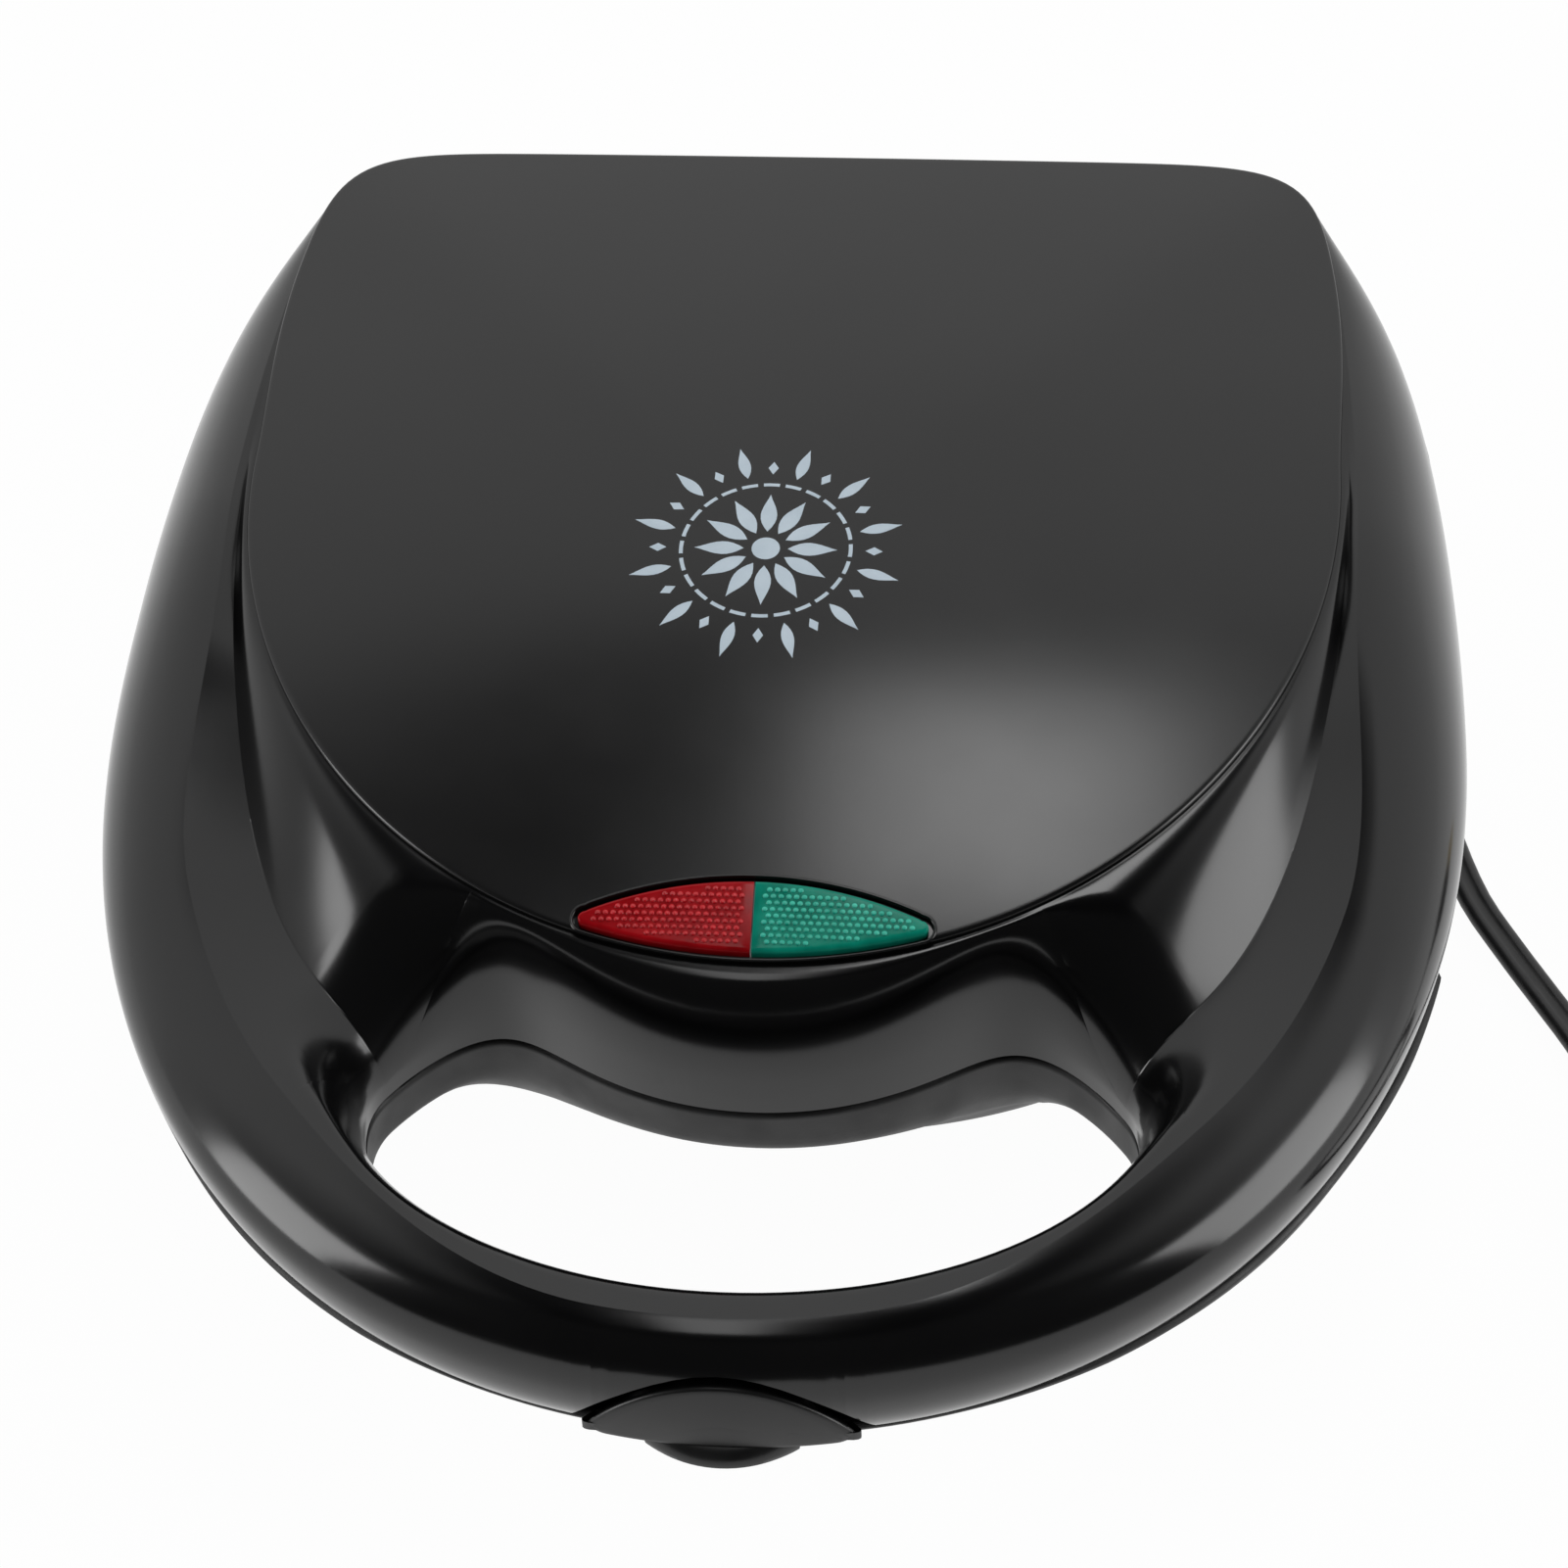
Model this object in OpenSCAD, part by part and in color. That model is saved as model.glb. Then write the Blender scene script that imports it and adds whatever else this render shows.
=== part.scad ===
// Corn dog maker: a countertop cooker with two hinged halves and six cooking cavities.
// Frame: +Z up, front (handle and latch) at -Y, origin on the table under the middle of the object.

/* [Shell outline] */
// Width of the shells at their widest line
body_w = 224; // [218:1:236]
// Plan distance from the widest line to the front of the handle
front_d = 133; // [128:1:140]
// Plan distance from the widest line to the rear of the lid
rear_d = 115; // [111:1:122]
// Height of the parting line above the table
part_z = 44; // [42:0.5:48]
// Gap between lid and base along the parting line
part_gap = 0.6; // [0.4:0.1:1]
// Wall thickness of both shells
wall = 2.5; // [2:0.1:2.8]
// How far the outer wall tucks in from its widest line down to the parting line
tuck = 2; // [1:0.5:4]

/* [Lid] */
// Height of the widest line of the lid above the parting line
bulge_h = 9; // [7:0.5:11]
// Height of that line at the rear of the lid
rear_bulge_h = 28; // [24:1:31]
// Height of the handle's crest above the parting line
crest_h = 20; // [18:0.5:23]
// Plan distance from the front of the handle to its crest
crest_in = 8.5; // [7:0.5:10]
// Drop from the crest to the trough behind it
crest_drop = 3.5; // [2.5:0.5:5]
// Width of the matte top panel
panel_w = 181; // [174:1:186]
// Plan distance from the widest line of the panel to its front tip
panel_front_d = 95; // [92:1:98]
// Plan distance from the widest line of the panel to its rear edge
panel_rear_d = 78; // [74:1:79]
// Height of the panel's rear edge above the parting line
panel_h = 40; // [38:0.5:43]
// How much lower the panel's front tip lies
panel_drop = 13; // [10:0.5:14]
// Crown of the panel
panel_crown = 4.5; // [2:0.5:6]
// Step from the gloss rim up to the panel
panel_step = 0.9; // [0.6:0.1:1.2]

/* [Hand gap] */
// Half of the angle that the hand gap spans, seen from the hub
gap_half = 35.5; // [33:0.5:37]
// Distance of the gap's middle line from the hub
gap_r = 102; // [100:0.5:104]
// Plan distance from the gap's middle line to its front edge
gap_w = 21.5; // [19:0.5:23]
// Plan distance from the panel's tip to the gap
gap_skirt = 9; // [7:0.5:11]
// Width of the lid's rounded edge at the front of the gap
gap_round = 6; // [4:0.5:7]
// Width of that edge around the gap's two ends
gap_end_round = 11.5; // [9:0.5:13]

/* [Base] */
// Height of the base's flat underside above the table
foot_h = 5; // [4:0.5:8]
// Depth of the base's half of the handle
ring_h = 12; // [11:0.5:14]
// Height of the upright strip below the parting line
strip_h = 6; // [5:0.5:7]
// Width of the flat underside
floor_w = 172; // [166:1:180]
// Diameter of a rubber foot
foot_d = 16; // [12:0.5:18]

/* [Hinge] */
// Diameter of the hinge knuckles
knuckle_d = 12; // [11:0.5:13]
// Width of each lid knuckle
knuckle_w = 13.4; // [11:0.2:16]
// Thickness of each base ear
ear_w = 6; // [4:0.5:8]
// Distance of each hinge from the middle plane
hinge_x = 62; // [56:1:66]
// Diameter of the hinge pins
pin_d = 4; // [3:0.1:5]
// Radial running clearance of a turning pin
run_fit = 0.05; // [0.02:0.01:0.1]
// Gap between faces that pass each other
side_gap = 0.3; // [0.3:0.1:0.5]

/* [Cooking plates] */
// Width of each plate
plate_w = 160; // [156:1:164]
// Depth of each plate, front to rear
plate_d = 120; // [116:1:124]
// Thickness of the plate's flange
plate_t = 5; // [4:0.5:6]
// Number of cavities in a plate
cavity_n = 6; // [5:1:6]
// Distance between cavities
cavity_pitch = 25; // [24:0.5:25.5]
// Diameter of a cavity
cavity_d = 20; // [18:0.5:21]
// Length of a cavity
cavity_l = 96; // [80:1:100]
// Metal left under a cavity
cavity_t = 4; // [3:0.5:4.5]
// Diameter of the stick groove
stick_d = 6; // [5:0.5:7]
// Gap between a plate and the frame around it
plate_gap = 0.5; // [0.4:0.1:0.8]
// Diameter of the tubular heating element
heater_d = 6.4; // [6:0.1:7]
// Sheet thickness of the heat shields
shield_t = 0.8; // [0.6:0.1:1.2]

/* [Lamps and latch] */
// Length of the pointed lens pair
lens_w = 57; // [50:1:60]
// Height of the lens's front arc
lens_front = 4.7; // [4:0.1:5]
// Height of the lens's rear arc
lens_rear = 6.5; // [6:0.5:8]
// How far the lenses stand proud of the panel
lens_proud = 0.6; // [0.3:0.1:1]
// Width of the latch at its base
latch_w = 42; // [38:1:46]
// Height of the latch's arch above the parting line
latch_h = 13; // [11:0.5:14]
// How far the latch's thumb tab stands in front of the handle
latch_out = 3; // [2:0.5:5]
// Gap around the latch in the lid's arch
latch_gap = 2; // [1.6:0.1:2.4]

/* [Cord] */
// Width of the flat twin cord
cord_w = 5.6; // [5:0.1:6]
// Thickness of the flat twin cord
cord_t = 2.8; // [2.4:0.1:3]

/* [Hidden] */

$fn = 48;
eps = 0.01;
gloss_black = [0.05, 0.05, 0.055];
matte_black = [0.16, 0.16, 0.16];
frame_black = [0.1, 0.1, 0.1];
cast_grey = [0.28, 0.28, 0.29];
steel = [0.72, 0.73, 0.75];
rubber_black = [0.08, 0.08, 0.08];

// The outline's widest line is placed so that latch tab and rear edge lie equally far from the origin.
outline_y = (front_d + latch_out - rear_d) / 2;
hub_y = outline_y + 10;
panel_y = outline_y + 32;
panel_tip_y = panel_y - panel_front_d;
panel_flat_y = panel_y + 27;
gap_back = gap_r - hub_y + panel_tip_y - gap_skirt;
floor_y = outline_y + 29;
floor_front_d = 75;
floor_rear_d = 66;
base_h = part_z - foot_h;
lid_edge_z = part_z + part_gap / 2;
base_edge_z = part_z - part_gap / 2;
rear_lean = knuckle_d + 0.5;
hinge_y = outline_y + rear_d - knuckle_d / 2;
hinge_z = part_z;

// A closed outline: half width, front reach, rear reach, front and rear exponents, rear taper, centre.
bulge_line = [body_w / 2, front_d, rear_d, 2.12, 6, 0.165, outline_y];
part_line = [body_w / 2 - tuck, front_d - tuck, rear_d - rear_lean, 2.12, 6, 0.165, outline_y];
panel_line = [panel_w / 2, panel_front_d, panel_rear_d, 2.05, 11, 0.06, panel_y];
floor_line = [floor_w / 2, floor_front_d, floor_rear_d, 2.2, 6, 0.02, floor_y];

function mix(a, b, t) = a + (b - a) * t;
function ease(lo, hi, v) = let (t = min(1, max(0, (v - lo) / (hi - lo)))) t * t * (3 - 2 * t);
function hub_point(a, r, z) = [r * sin(a), hub_y - r * cos(a), z];

// Below 1 inside an outline, 1 on it.
function outline_value(c, x, y) =
    let (d = y - c[6], front = d < 0, e = abs(d) / (front ? c[1] : c[2]), n = front ? c[3] : c[4])
    let (w = front ? c[0] : max(1, c[0] * (1 - c[5] * e * e)))
    pow(abs(x) / w, n) + pow(e, n);

// Distance from the hub to an outline at angle a, where 0 is the front.
function reach(c, a, lo = 0, hi = 300, step = 0) =
    step == 26 ? (lo + hi) / 2 :
    let (m = (lo + hi) / 2)
    outline_value(c, m * sin(a), hub_y - m * cos(a)) < 1 ? reach(c, a, m, hi, step + 1)
                                                          : reach(c, a, lo, m, step + 1);

// Rear edge of the parting line at a distance x from the middle plane.
function rear_wall(x, lo = 0, hi = 250, step = 0) =
    step == 26 ? (lo + hi) / 2 :
    let (m = (lo + hi) / 2)
    outline_value(part_line, x, m) < 1 ? rear_wall(x, m, hi, step + 1) : rear_wall(x, lo, m, step + 1);

// Height of the top panel along the middle, and anywhere on it.
function panel_rise(y) =
    let (t = max(0, (panel_flat_y - y) / (panel_flat_y - panel_tip_y)))
    part_z + panel_h - panel_drop * t * t;
function panel_z(x, y) =
    let (a = atan2(x, hub_y - y), f = norm([x, y - hub_y]) / reach(panel_line, a))
    panel_rise(y) + panel_crown * (1 - f * f);

// Inner and outer edge of the hand gap at angle a; past its ends both follow the valley line.
function gap_front(p) =
    let (u = p / gap_half)
    gap_r - 2 * u * u + (gap_w - 6 * u * u) * sqrt(max(0, 1 - pow(u, 6)));
function gap_rear(p) =
    let (u = p / gap_half)
    gap_r - 2 * u * u - (gap_back + 6 * u * u) * sqrt(max(0, 1 - pow(u, 8)));
function valley(p, r) = mix(gap_r - 2, r, ease(gap_half, 100, p));

// Angles of the shells' sections, crowded towards the ends of the hand gap.
wall_angle = wall / gap_r * 180 / PI;
gap_steps = 10;
side_steps = 26;
closed_a = gap_half + wall_angle;
half_angles = concat(
    [for (i = [0:gap_steps]) gap_half * sin(90 * i / gap_steps)],
    [closed_a, closed_a + 1.8, closed_a + 3.6],
    [for (i = [1:side_steps]) mix(closed_a, 180, i / side_steps)]);
half_n = len(half_angles);
angles = concat([for (i = [half_n - 1:-1:1]) -half_angles[i]], [for (i = [0:half_n - 2]) half_angles[i]]);
station_n = len(angles);

// The smaller of two lengths, with a soft change from one to the other.
function shorter(a, b) = (a + b - norm([a - b, 0.15 * b])) / 2;
function clamped(t) = min(1, max(0, t));
// A curve from 0 to 1 that starts at a slope and ends level.
function fall(t, slope) = slope * (t - 2 * t * t + t * t * t) + 3 * t * t - 2 * t * t * t;
// Share of its fall that a rounded edge of width w has done at a distance d from the wall below it.
function rolled(d, w, n) = 1 - pow(1 - pow(clamped(1 - d / w), n), 1 / n);

// Distance of a plan point from the edge of the hand gap.
open_angles = [for (i = [-gap_steps:gap_steps]) gap_half * sin(90 * i / gap_steps)];
gap_edge = concat(
    [for (a = open_angles) plan(a, gap_front(abs(a)))],
    [for (a = open_angles) plan(-a, gap_rear(abs(a)))]);
function line_distance(q, a, b) =
    let (d = b - a, t = clamped((q - a) * d / max(eps * eps, d * d)))
    norm(q - a - t * d);
function gap_distance(q) =
    min([for (i = [0:len(gap_edge) - 1]) line_distance(q, gap_edge[i], gap_edge[(i + 1) % len(gap_edge)])]);

// Height of the trough between the crest at rc and the panel at rp.
function trough(p, r, rp, rc, zc, edge) =
    let (rv = valley(p, rp + 1.6), past = ease(gap_half - 2, 78, p), width = rc - rp - 0.5)
    let (skirt_l = shorter(mix(14, rv - rp - 0.5, past), 0.54 * width))
    let (slope_l = shorter(mix(16, rc - rv, past), 0.5 * width))
    let (zt = zc - crest_drop * (1 - ease(45, 85, p)))
    zt + (edge - panel_step - zt) * (1 - fall(clamped((r - rp - 0.5) / skirt_l), 0.55))
       + (zc - zt) * (1 - fall(clamped((rc - r) / slope_l), 1));

// One section of the lid: outer skin to the gap, outer skin past it, then the same two inside.
function lid_section(a) =
    let (p = abs(a), open = p < gap_half + eps, end = pow(min(1, p / gap_half), 4))
    let (r0 = reach(bulge_line, a), rq = reach(part_line, a), rp = reach(panel_line, a))
    let (edge = panel_rise(hub_y - rp * cos(a)), side = ease(40, 100, p), back = ease(120, 155, p))
    let (rc = r0 - mix(crest_in, r0 - rp - 2.4, side), zc = mix(part_z + crest_h, edge - 0.4, side))
    let (zb = part_z + mix(bulge_h, rear_bulge_h, ease(90, 150, p)))
    let (rk = mix(mix(rq, r0, 0.75), rq + 0.3, back))
    let (zk = mix(mix(lid_edge_z, zb, 0.45), lid_edge_z + knuckle_d / 2 + 2.7, back))
    let (ra = open ? gap_front(p) : valley(p, rp + 1.6), rb = open ? gap_rear(p) : valley(p, rp + 1.6))
    let (over = function (r, w, n)
        mix(trough(p, r, rp, rc, zc, edge), lid_edge_z + frame_t + 1,
            rolled(gap_distance(plan(a, r)), mix(w, gap_end_round, end), n)))
    let (ring_z = function (r) over(r, gap_round, 1.5))
    let (skirt_z = function (r) over(r, gap_skirt - 0.6, mix(2, 1.5, end)))
    let (ri = mix(rc, ra, 0.5), rj = mix(rb, rp, 0.5))
    let (under = function (z) max(lid_edge_z + frame_t + 0.4, z - wall * 0.8))
    [
        concat(
            [[rq, lid_edge_z], [rk, zk]],
            [for (f = [0:30:90]) [rc + (r0 - rc) * cos(f), zb + (zc - zb) * sin(f)]],
            [for (f = [0.75, 0.5, 0.3, 0.14, 0.05, 0]) let (r = mix(ra, rc, f)) [r, ring_z(r)]]),
        concat(
            [for (f = [0, 0.05, 0.14, 0.3, 0.5, 0.75]) let (r = mix(rb, rp + 0.5, f)) [r, skirt_z(r)]],
            [[rp + 0.5, edge - panel_step]],
            [for (f = [1, 0.8, 0.5, 0.25]) [rp * f, panel_rise(hub_y - rp * f * cos(a))
                                                    + panel_crown * (1 - f * f)]]),
        [
            [rq - wall, lid_edge_z], [rk - wall, zk], [r0 - wall, zb],
            [mix(rc, r0 - wall, cos(45)), mix(zb, zc - wall, sin(45))],
            [rc, zc - wall], [ri, ring_z(ri) - wall],
            open ? [ra + wall, under(ring_z(ra + wall))] : [ra, ring_z(ra) - wall],
        ],
        [
            open ? [rb - wall, under(skirt_z(rb - wall))] : [rb, skirt_z(rb) - wall],
            [rj, max(lid_edge_z + frame_t + 0.4, skirt_z(rj) - wall)],
            [rp - 1.8, edge - wall - 0.4],
            [rp * 0.5, panel_rise(hub_y - rp * 0.5 * cos(a)) + panel_crown * 0.75 - wall],
        ],
    ];

// Height of the lid's trough over a plan point.
function trough_at(q) =
    let (a = atan2(q[0], hub_y - q[1]), p = abs(a), r0 = reach(bulge_line, a), rp = reach(panel_line, a))
    let (edge = panel_rise(hub_y - rp * cos(a)), side = ease(40, 100, p))
    trough(p, norm([q[0], q[1] - hub_y]), rp, r0 - mix(crest_in, r0 - rp - 2.4, side),
           mix(part_z + crest_h, edge - 0.4, side), edge);

// Angle at which the wider front strip of the base ends.
strip_end = 67;
function strip_part(p) = ease(8, 32, p) * (1 - ease(strip_end - 3, strip_end + 3, p));
// One section of the base, in the same order.
function base_section(a) =
    let (p = abs(a), open = p < gap_half + eps)
    let (rq = reach(part_line, a) + (tuck - 0.2) * strip_part(p))
    let (rf = reach(floor_line, a), side = ease(40, 100, p))
    let (rs = rq - 0.8, rc = rq - mix(9, rq - rf - 4, side), hc = mix(ring_h, base_h - 1.2, side))
    let (ra = open ? gap_front(p) : valley(p, rf + 2), rb = open ? gap_rear(p) : valley(p, rf + 2))
    let (he = hc - 1.5 * (1 - ease(gap_half, 75, p)), hw = hc - wall)
    [
        concat(
            [[rq, base_edge_z]],
            [for (f = [0:30:90]) [rc + (rs - rc) * cos(f), part_z - mix(strip_h, hc, sin(f))]],
            [[ra, part_z - he]]),
        [
            [rb, part_z - he], [mix(rb, rf, 0.5), part_z - mix(he, base_h, 0.31)],
            [mix(rb, rf, 0.85), part_z - mix(he, base_h, 0.75)],
            [rf, part_z - base_h], [rf * 0.5, part_z - base_h],
        ],
        [
            [rq - wall, base_edge_z], [rs - wall, part_z - strip_h],
            [mix(rc, rs - wall, cos(45)), part_z - mix(strip_h, hw, sin(45))], [rc, part_z - hw],
            open ? [ra + wall, part_z - hw + 0.3] : [ra, part_z - he + wall],
        ],
        [
            open ? [rb - wall, part_z - he + 0.5] : [rb, part_z - he + wall],
            [mix(rb, rf, 0.5) - 0.5, part_z - mix(he, base_h, 0.31) + wall],
            [rf - 1, part_z - base_h + wall], [rf * 0.5, part_z - base_h + wall],
        ],
    ];

function last(list) = list[len(list) - 1];
function flip(list) = [for (i = [len(list) - 1:-1:0]) list[i]];
function range_from(start, n) = [for (i = [0:n - 1]) start + i];

// A closed shell from its sections: two skins, the rim between them and the wall of the hand gap.
module skin(sections, edge_z, top_out, top_in, turned) {
    n = [for (k = [0:3]) len(sections[0][k])];
    size = n[0] + n[1] + n[2] + n[3] + 4;
    points = concat(
        [for (i = [0:station_n - 1])
            let (s = sections[i], a = angles[i])
            for (q = concat(
                s[0], [[last(s[0])[0], edge_z], [s[1][0][0], edge_z]], s[1],
                s[2], [[last(s[2])[0], edge_z], [s[3][0][0], edge_z]], s[3]))
            hub_point(a, q[0], q[1])],
        [[0, hub_y, top_out], [0, hub_y, top_in]]);
    tip_out = station_n * size;
    tip_in = tip_out + 1;
    function cut_out(i) = abs(angles[i]) < gap_half - eps;
    function cut_in(i) = abs(angles[i]) < gap_half + eps;
    function out_a(i) = range_from(i * size, n[0]);
    function foot_out_a(i) = i * size + n[0];
    function foot_out_b(i) = i * size + n[0] + (cut_out(i) ? 1 : 0);
    function out_b(i) = concat([cut_out(i) ? i * size + n[0] + 2 : i * size + n[0] - 1],
                               range_from(i * size + n[0] + 3, n[1] - 1));
    in_at = n[0] + n[1] + 2;
    function in_a(i) = range_from(i * size + in_at, n[2]);
    function foot_in_a(i) = i * size + in_at + n[2];
    function foot_in_b(i) = i * size + in_at + n[2] + (cut_in(i) ? 1 : 0);
    function in_b(i) = concat([cut_in(i) ? i * size + in_at + n[2] + 2 : i * size + in_at + n[2] - 1],
                              range_from(i * size + in_at + n[2] + 3, n[3] - 1));
    function strip(p, q) = [for (j = [0:len(p) - 2]) each
        [[p[j], p[j + 1], q[j + 1]], [p[j], q[j + 1], q[j]]]];
    function ring(i) = concat(out_a(i), [foot_out_a(i), foot_in_a(i)], flip(in_a(i)), [i * size]);
    function inner_b(i) = concat(flip(in_b(i)), [foot_in_b(i)]);
    function body(i) = concat(inner_b(i), [foot_out_b(i)], out_b(i));
    function outer(i) = concat(flip(in_a(i)), out_a(i), [for (j = [1:n[1] - 1]) out_b(i)[j]]);
    function whole(i) = concat([for (j = [n[3] - 1:-1:1]) in_b(i)[j]], outer(i));
    function caps(i, k) = [[tip_in, last(in_b(i)), last(in_b(k))], [last(out_b(i)), tip_out, last(out_b(k))]];
    function pocket(c, s, first) = first
        ? [[foot_in_a(c), foot_in_a(s), foot_out_a(s)], [foot_in_a(c), foot_out_a(s), foot_in_b(s)]]
        : [[foot_out_a(s), foot_in_a(s), foot_in_a(c)], [foot_in_b(s), foot_out_a(s), foot_in_a(c)]];
    faces = [for (i = [0:station_n - 1])
        let (k = (i + 1) % station_n)
        each concat(
            caps(i, k),
            cut_in(i) && cut_in(k) ? concat(strip(ring(i), ring(k)), strip(body(i), body(k))) :
            cut_in(i) || cut_in(k) ? concat(
                strip(concat([foot_in_a(i)], outer(i)), concat([foot_in_a(k)], outer(k))),
                strip(inner_b(i), inner_b(k)),
                cut_in(k) ? pocket(i, k, true) : pocket(k, i, false)) :
            strip(whole(i), whole(k)))];
    polyhedron(points, turned ? [for (f = faces) flip(f)] : faces, convexity = 8);
}

// Outline of the parting edge, moved inwards, and of the hand gap, moved outwards.
function edge_outline(inset) = [for (a = angles) plan(a, reach(part_line, a) - inset)];
gap_angles = [for (a = angles) if (abs(a) < gap_half + eps) a];
function plan(a, r) = [r * sin(a), hub_y - r * cos(a)];
function gap_outline(grow) =
    let (end = gap_half + grow / gap_r * 180 / PI + 0.6)
    concat(
        [plan(-end, gap_r - 2)],
        [for (a = gap_angles) plan(a, gap_front(abs(a)) + grow)],
        [plan(end, gap_r - 2)],
        [for (a = flip(gap_angles)) plan(a, gap_rear(abs(a)) - grow)]);

// The upper half of the works mirrors the lower half in the parting plane.
module upside() {
    translate([0, 0, 2 * part_z])
        mirror([0, 0, 1])
            children();
}
module at_both_sides() {
    children();
    mirror([1, 0, 0])
        children();
}
module bar_x(d, l) {
    rotate([0, 90, 0])
        cylinder(d = d, h = l, center = true);
}

// Works, measured down from the parting plane.
plate_y = hub_y + 3;
plate_face_z = base_edge_z - 0.1;
works_z = plate_face_z - cavity_d / 2 - cavity_t;
heater_z = works_z - heater_d / 2;
shield_z = part_z - 26;
shield_w = 138;
shield_d = 96;
shield_y = plate_y + 3;
post_d = 9;
shield_post_x = 59;
shield_post_y = [shield_y - 36, shield_y + 36];
stud_d = 10;
studs = [[-25, plate_y - 4], [25, plate_y - 4], [0, plate_y + 40]];
screw_d = 3.4;
screw_fit = 0.1;
head_d = 6.6;
head_h = 2;
frame_t = 2.2;
frame_fit = 0.6;
frame_z = base_edge_z - frame_t;
frame_front_post = [84, hub_y - 59];
frame_rear_x = 62;
frame_rear_post = [frame_rear_x, (plate_y + plate_d / 2 + rear_wall(frame_rear_x) - wall) / 2];
frame_posts = [frame_front_post, frame_rear_post];
frame_post_d = 8;
screw_l = 9;
plate_r = 24;
sunk_h = 1.4;
heater_x = 50;
heater_r = 18;
heater_front_y = plate_y - 30;
heater_rear_y = plate_y + 60;
saddle_y = [plate_y + 2, plate_y + 40];
shield_r = 10;
shield_wall_h = 8;
holder_w = 50;
holder_d = 8.4;
holder_h = 8;
lamp_d = 6;
lens_split = 0.6;
tab_w = 23;
tab_r = 18;
foot_at = [[44, hub_y - 37], [60, floor_y + 46]];
relief_x = 40;
relief_y = outline_y + rear_d - rear_lean - 1.2;
relief_z = 14;
relief_l = 22;
relief_neck_d = 7;
block_w = 30;
block_d = 12;
block_h = 10;
block_pitch = 9;
block_hole_d = 4;
block_y = floor_y + floor_rear_d - 18;
plug_w = 24;
plug_grip_l = 12;
plug_l = 20;
plug_r = 5;
blade_pitch = 12.7;
blade_t = 1.5;
blade_w = 6.3;
blade_in = 8;
blade_out = 17;
blade_z = plug_grip_l + plug_l - blade_in;

// Place and size of the coil.
coil_x = 179.5;
coil_y = -46;
coil_r = 36;
coil_in = 6.6;
tie_t = 0.8;
coil_low_z = tie_t + 0.1 + cord_t / 2;
coil_top_z = coil_low_z + cord_t + 0.5;
turn_steps = 24;
tie_r = coil_r - coil_in * 0.75;
plug_y = coil_y + 60;
plug_z = 7.5;

// Middle line of the free cord, from the strain relief round the rear and along the right side.
cord_start_y = relief_y + relief_l;
cord_low = cord_t / 2;
cord_route = [
    [relief_x, cord_start_y, relief_z], [40, 140, 13.6], [42, 149, 11.5], [47, 157, 8], [54.5, 162.5, 4.6],
    [64, 165, 2.4], [75, 165.5, cord_low], [86, 164, cord_low], [96, 159, cord_low], [103.5, 151.5, cord_low],
    [108.5, 142, cord_low], [110.5, 131, cord_low], [111, 118, cord_low], [110.5, 104, cord_low],
    [110, 90, cord_low], [109.5, 76, cord_low], [110, 62, cord_low], [111.5, 48, cord_low],
    [114, 36, cord_low], [118, 23, cord_low], [123.5, 12, cord_low], [129, 2, cord_low],
    [134.5, -8, cord_low], [139, -18.5, 1.6], [142, -29, 1.9], [coil_x - coil_r, -40, coil_low_z],
];
cord_profile = [for (i = [0:9]) let (a = 36 * i) [cord_w / 2 * cos(a), cord_t / 2 * sin(a)]];

// Coil: one turn in, half a turn up, one turn out on top, then straight to the plug.
lead_sag = [[12, coil_top_z - 0.3], [24, 4.2], [36, 4.4], [48, plug_z - 1.2], [54, plug_z], [60, plug_z]];
function coil_point(t) =
    let (r = coil_r - coil_in * (t < 1 ? t : t < 1.5 ? 1 : 2.5 - t))
    let (z = mix(coil_low_z, coil_top_z, ease(1, 1.5, t)))
    [coil_x - r * cos(360 * t), coil_y - r * sin(360 * t), z];
coil_route = concat(
    [[coil_x - coil_r, -40, coil_low_z]],
    [for (i = [0:turn_steps * 2.5]) coil_point(i / turn_steps)],
    [for (q = lead_sag) [coil_x + coil_r, coil_y + q[0], q[1]]]);
coil_profile = [for (q = [[1, 0], [0.5, 1], [-0.5, 1], [-1, 0], [-0.5, -1], [0.5, -1]])
    [q[0] * cord_w / 2, q[1] * cord_t / 2]];
echo(cord_free_length = length_of(cord_route), cord_coil_length = length_of(coil_route));

// Hinge, latch and lamp places

hinge_ear_x = knuckle_w / 2 + side_gap;
web_h = 6.4;
ear_x = [hinge_x - hinge_ear_x - ear_w / 2, hinge_x + hinge_ear_x + ear_w / 2];
front_y = outline_y - front_d;
front_curve_r = pow(body_w / 2, 2) / front_d;
latch_pivot_y = front_y + 11;
latch_pivot_z = part_z + 6;
latch_pin_d = 3;
latch_boss_d = 7;
latch_boss_w = 22;
latch_cheek_w = 5;
latch_nose_z = part_z - 8;
latch_nose_w = 16;
latch_arm_t = 2.1;
latch_arm_y = latch_pivot_y + 0.5 - latch_arm_t;
catch_y = latch_pivot_y + 2.4;
notch_w = latch_w + 6;
lens_y = panel_tip_y + 1 + lens_front;
lens_seat_z = panel_z(0, lens_y) - 10;
lens_fit = 0.2;
holder_y = lens_y + 1.2;
lamp_tilt = atan((panel_z(0, lens_y + 6) - panel_z(0, lens_y - 4)) / 10);

// A low arch across the front, standing on the parting plane.
module arch(half_w, top_h, low_h, y0, y1) {
    r = (half_w * half_w + top_h * top_h) / (2 * top_h);
    translate([0, y1, part_z])
        rotate([90, 0, 0])
            linear_extrude(y1 - y0)
                intersection() {
                    translate([0, top_h - r])
                        circle(r);
                    translate([-half_w, -low_h])
                        square([2 * half_w, top_h + low_h + 1]);
                }
}

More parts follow.
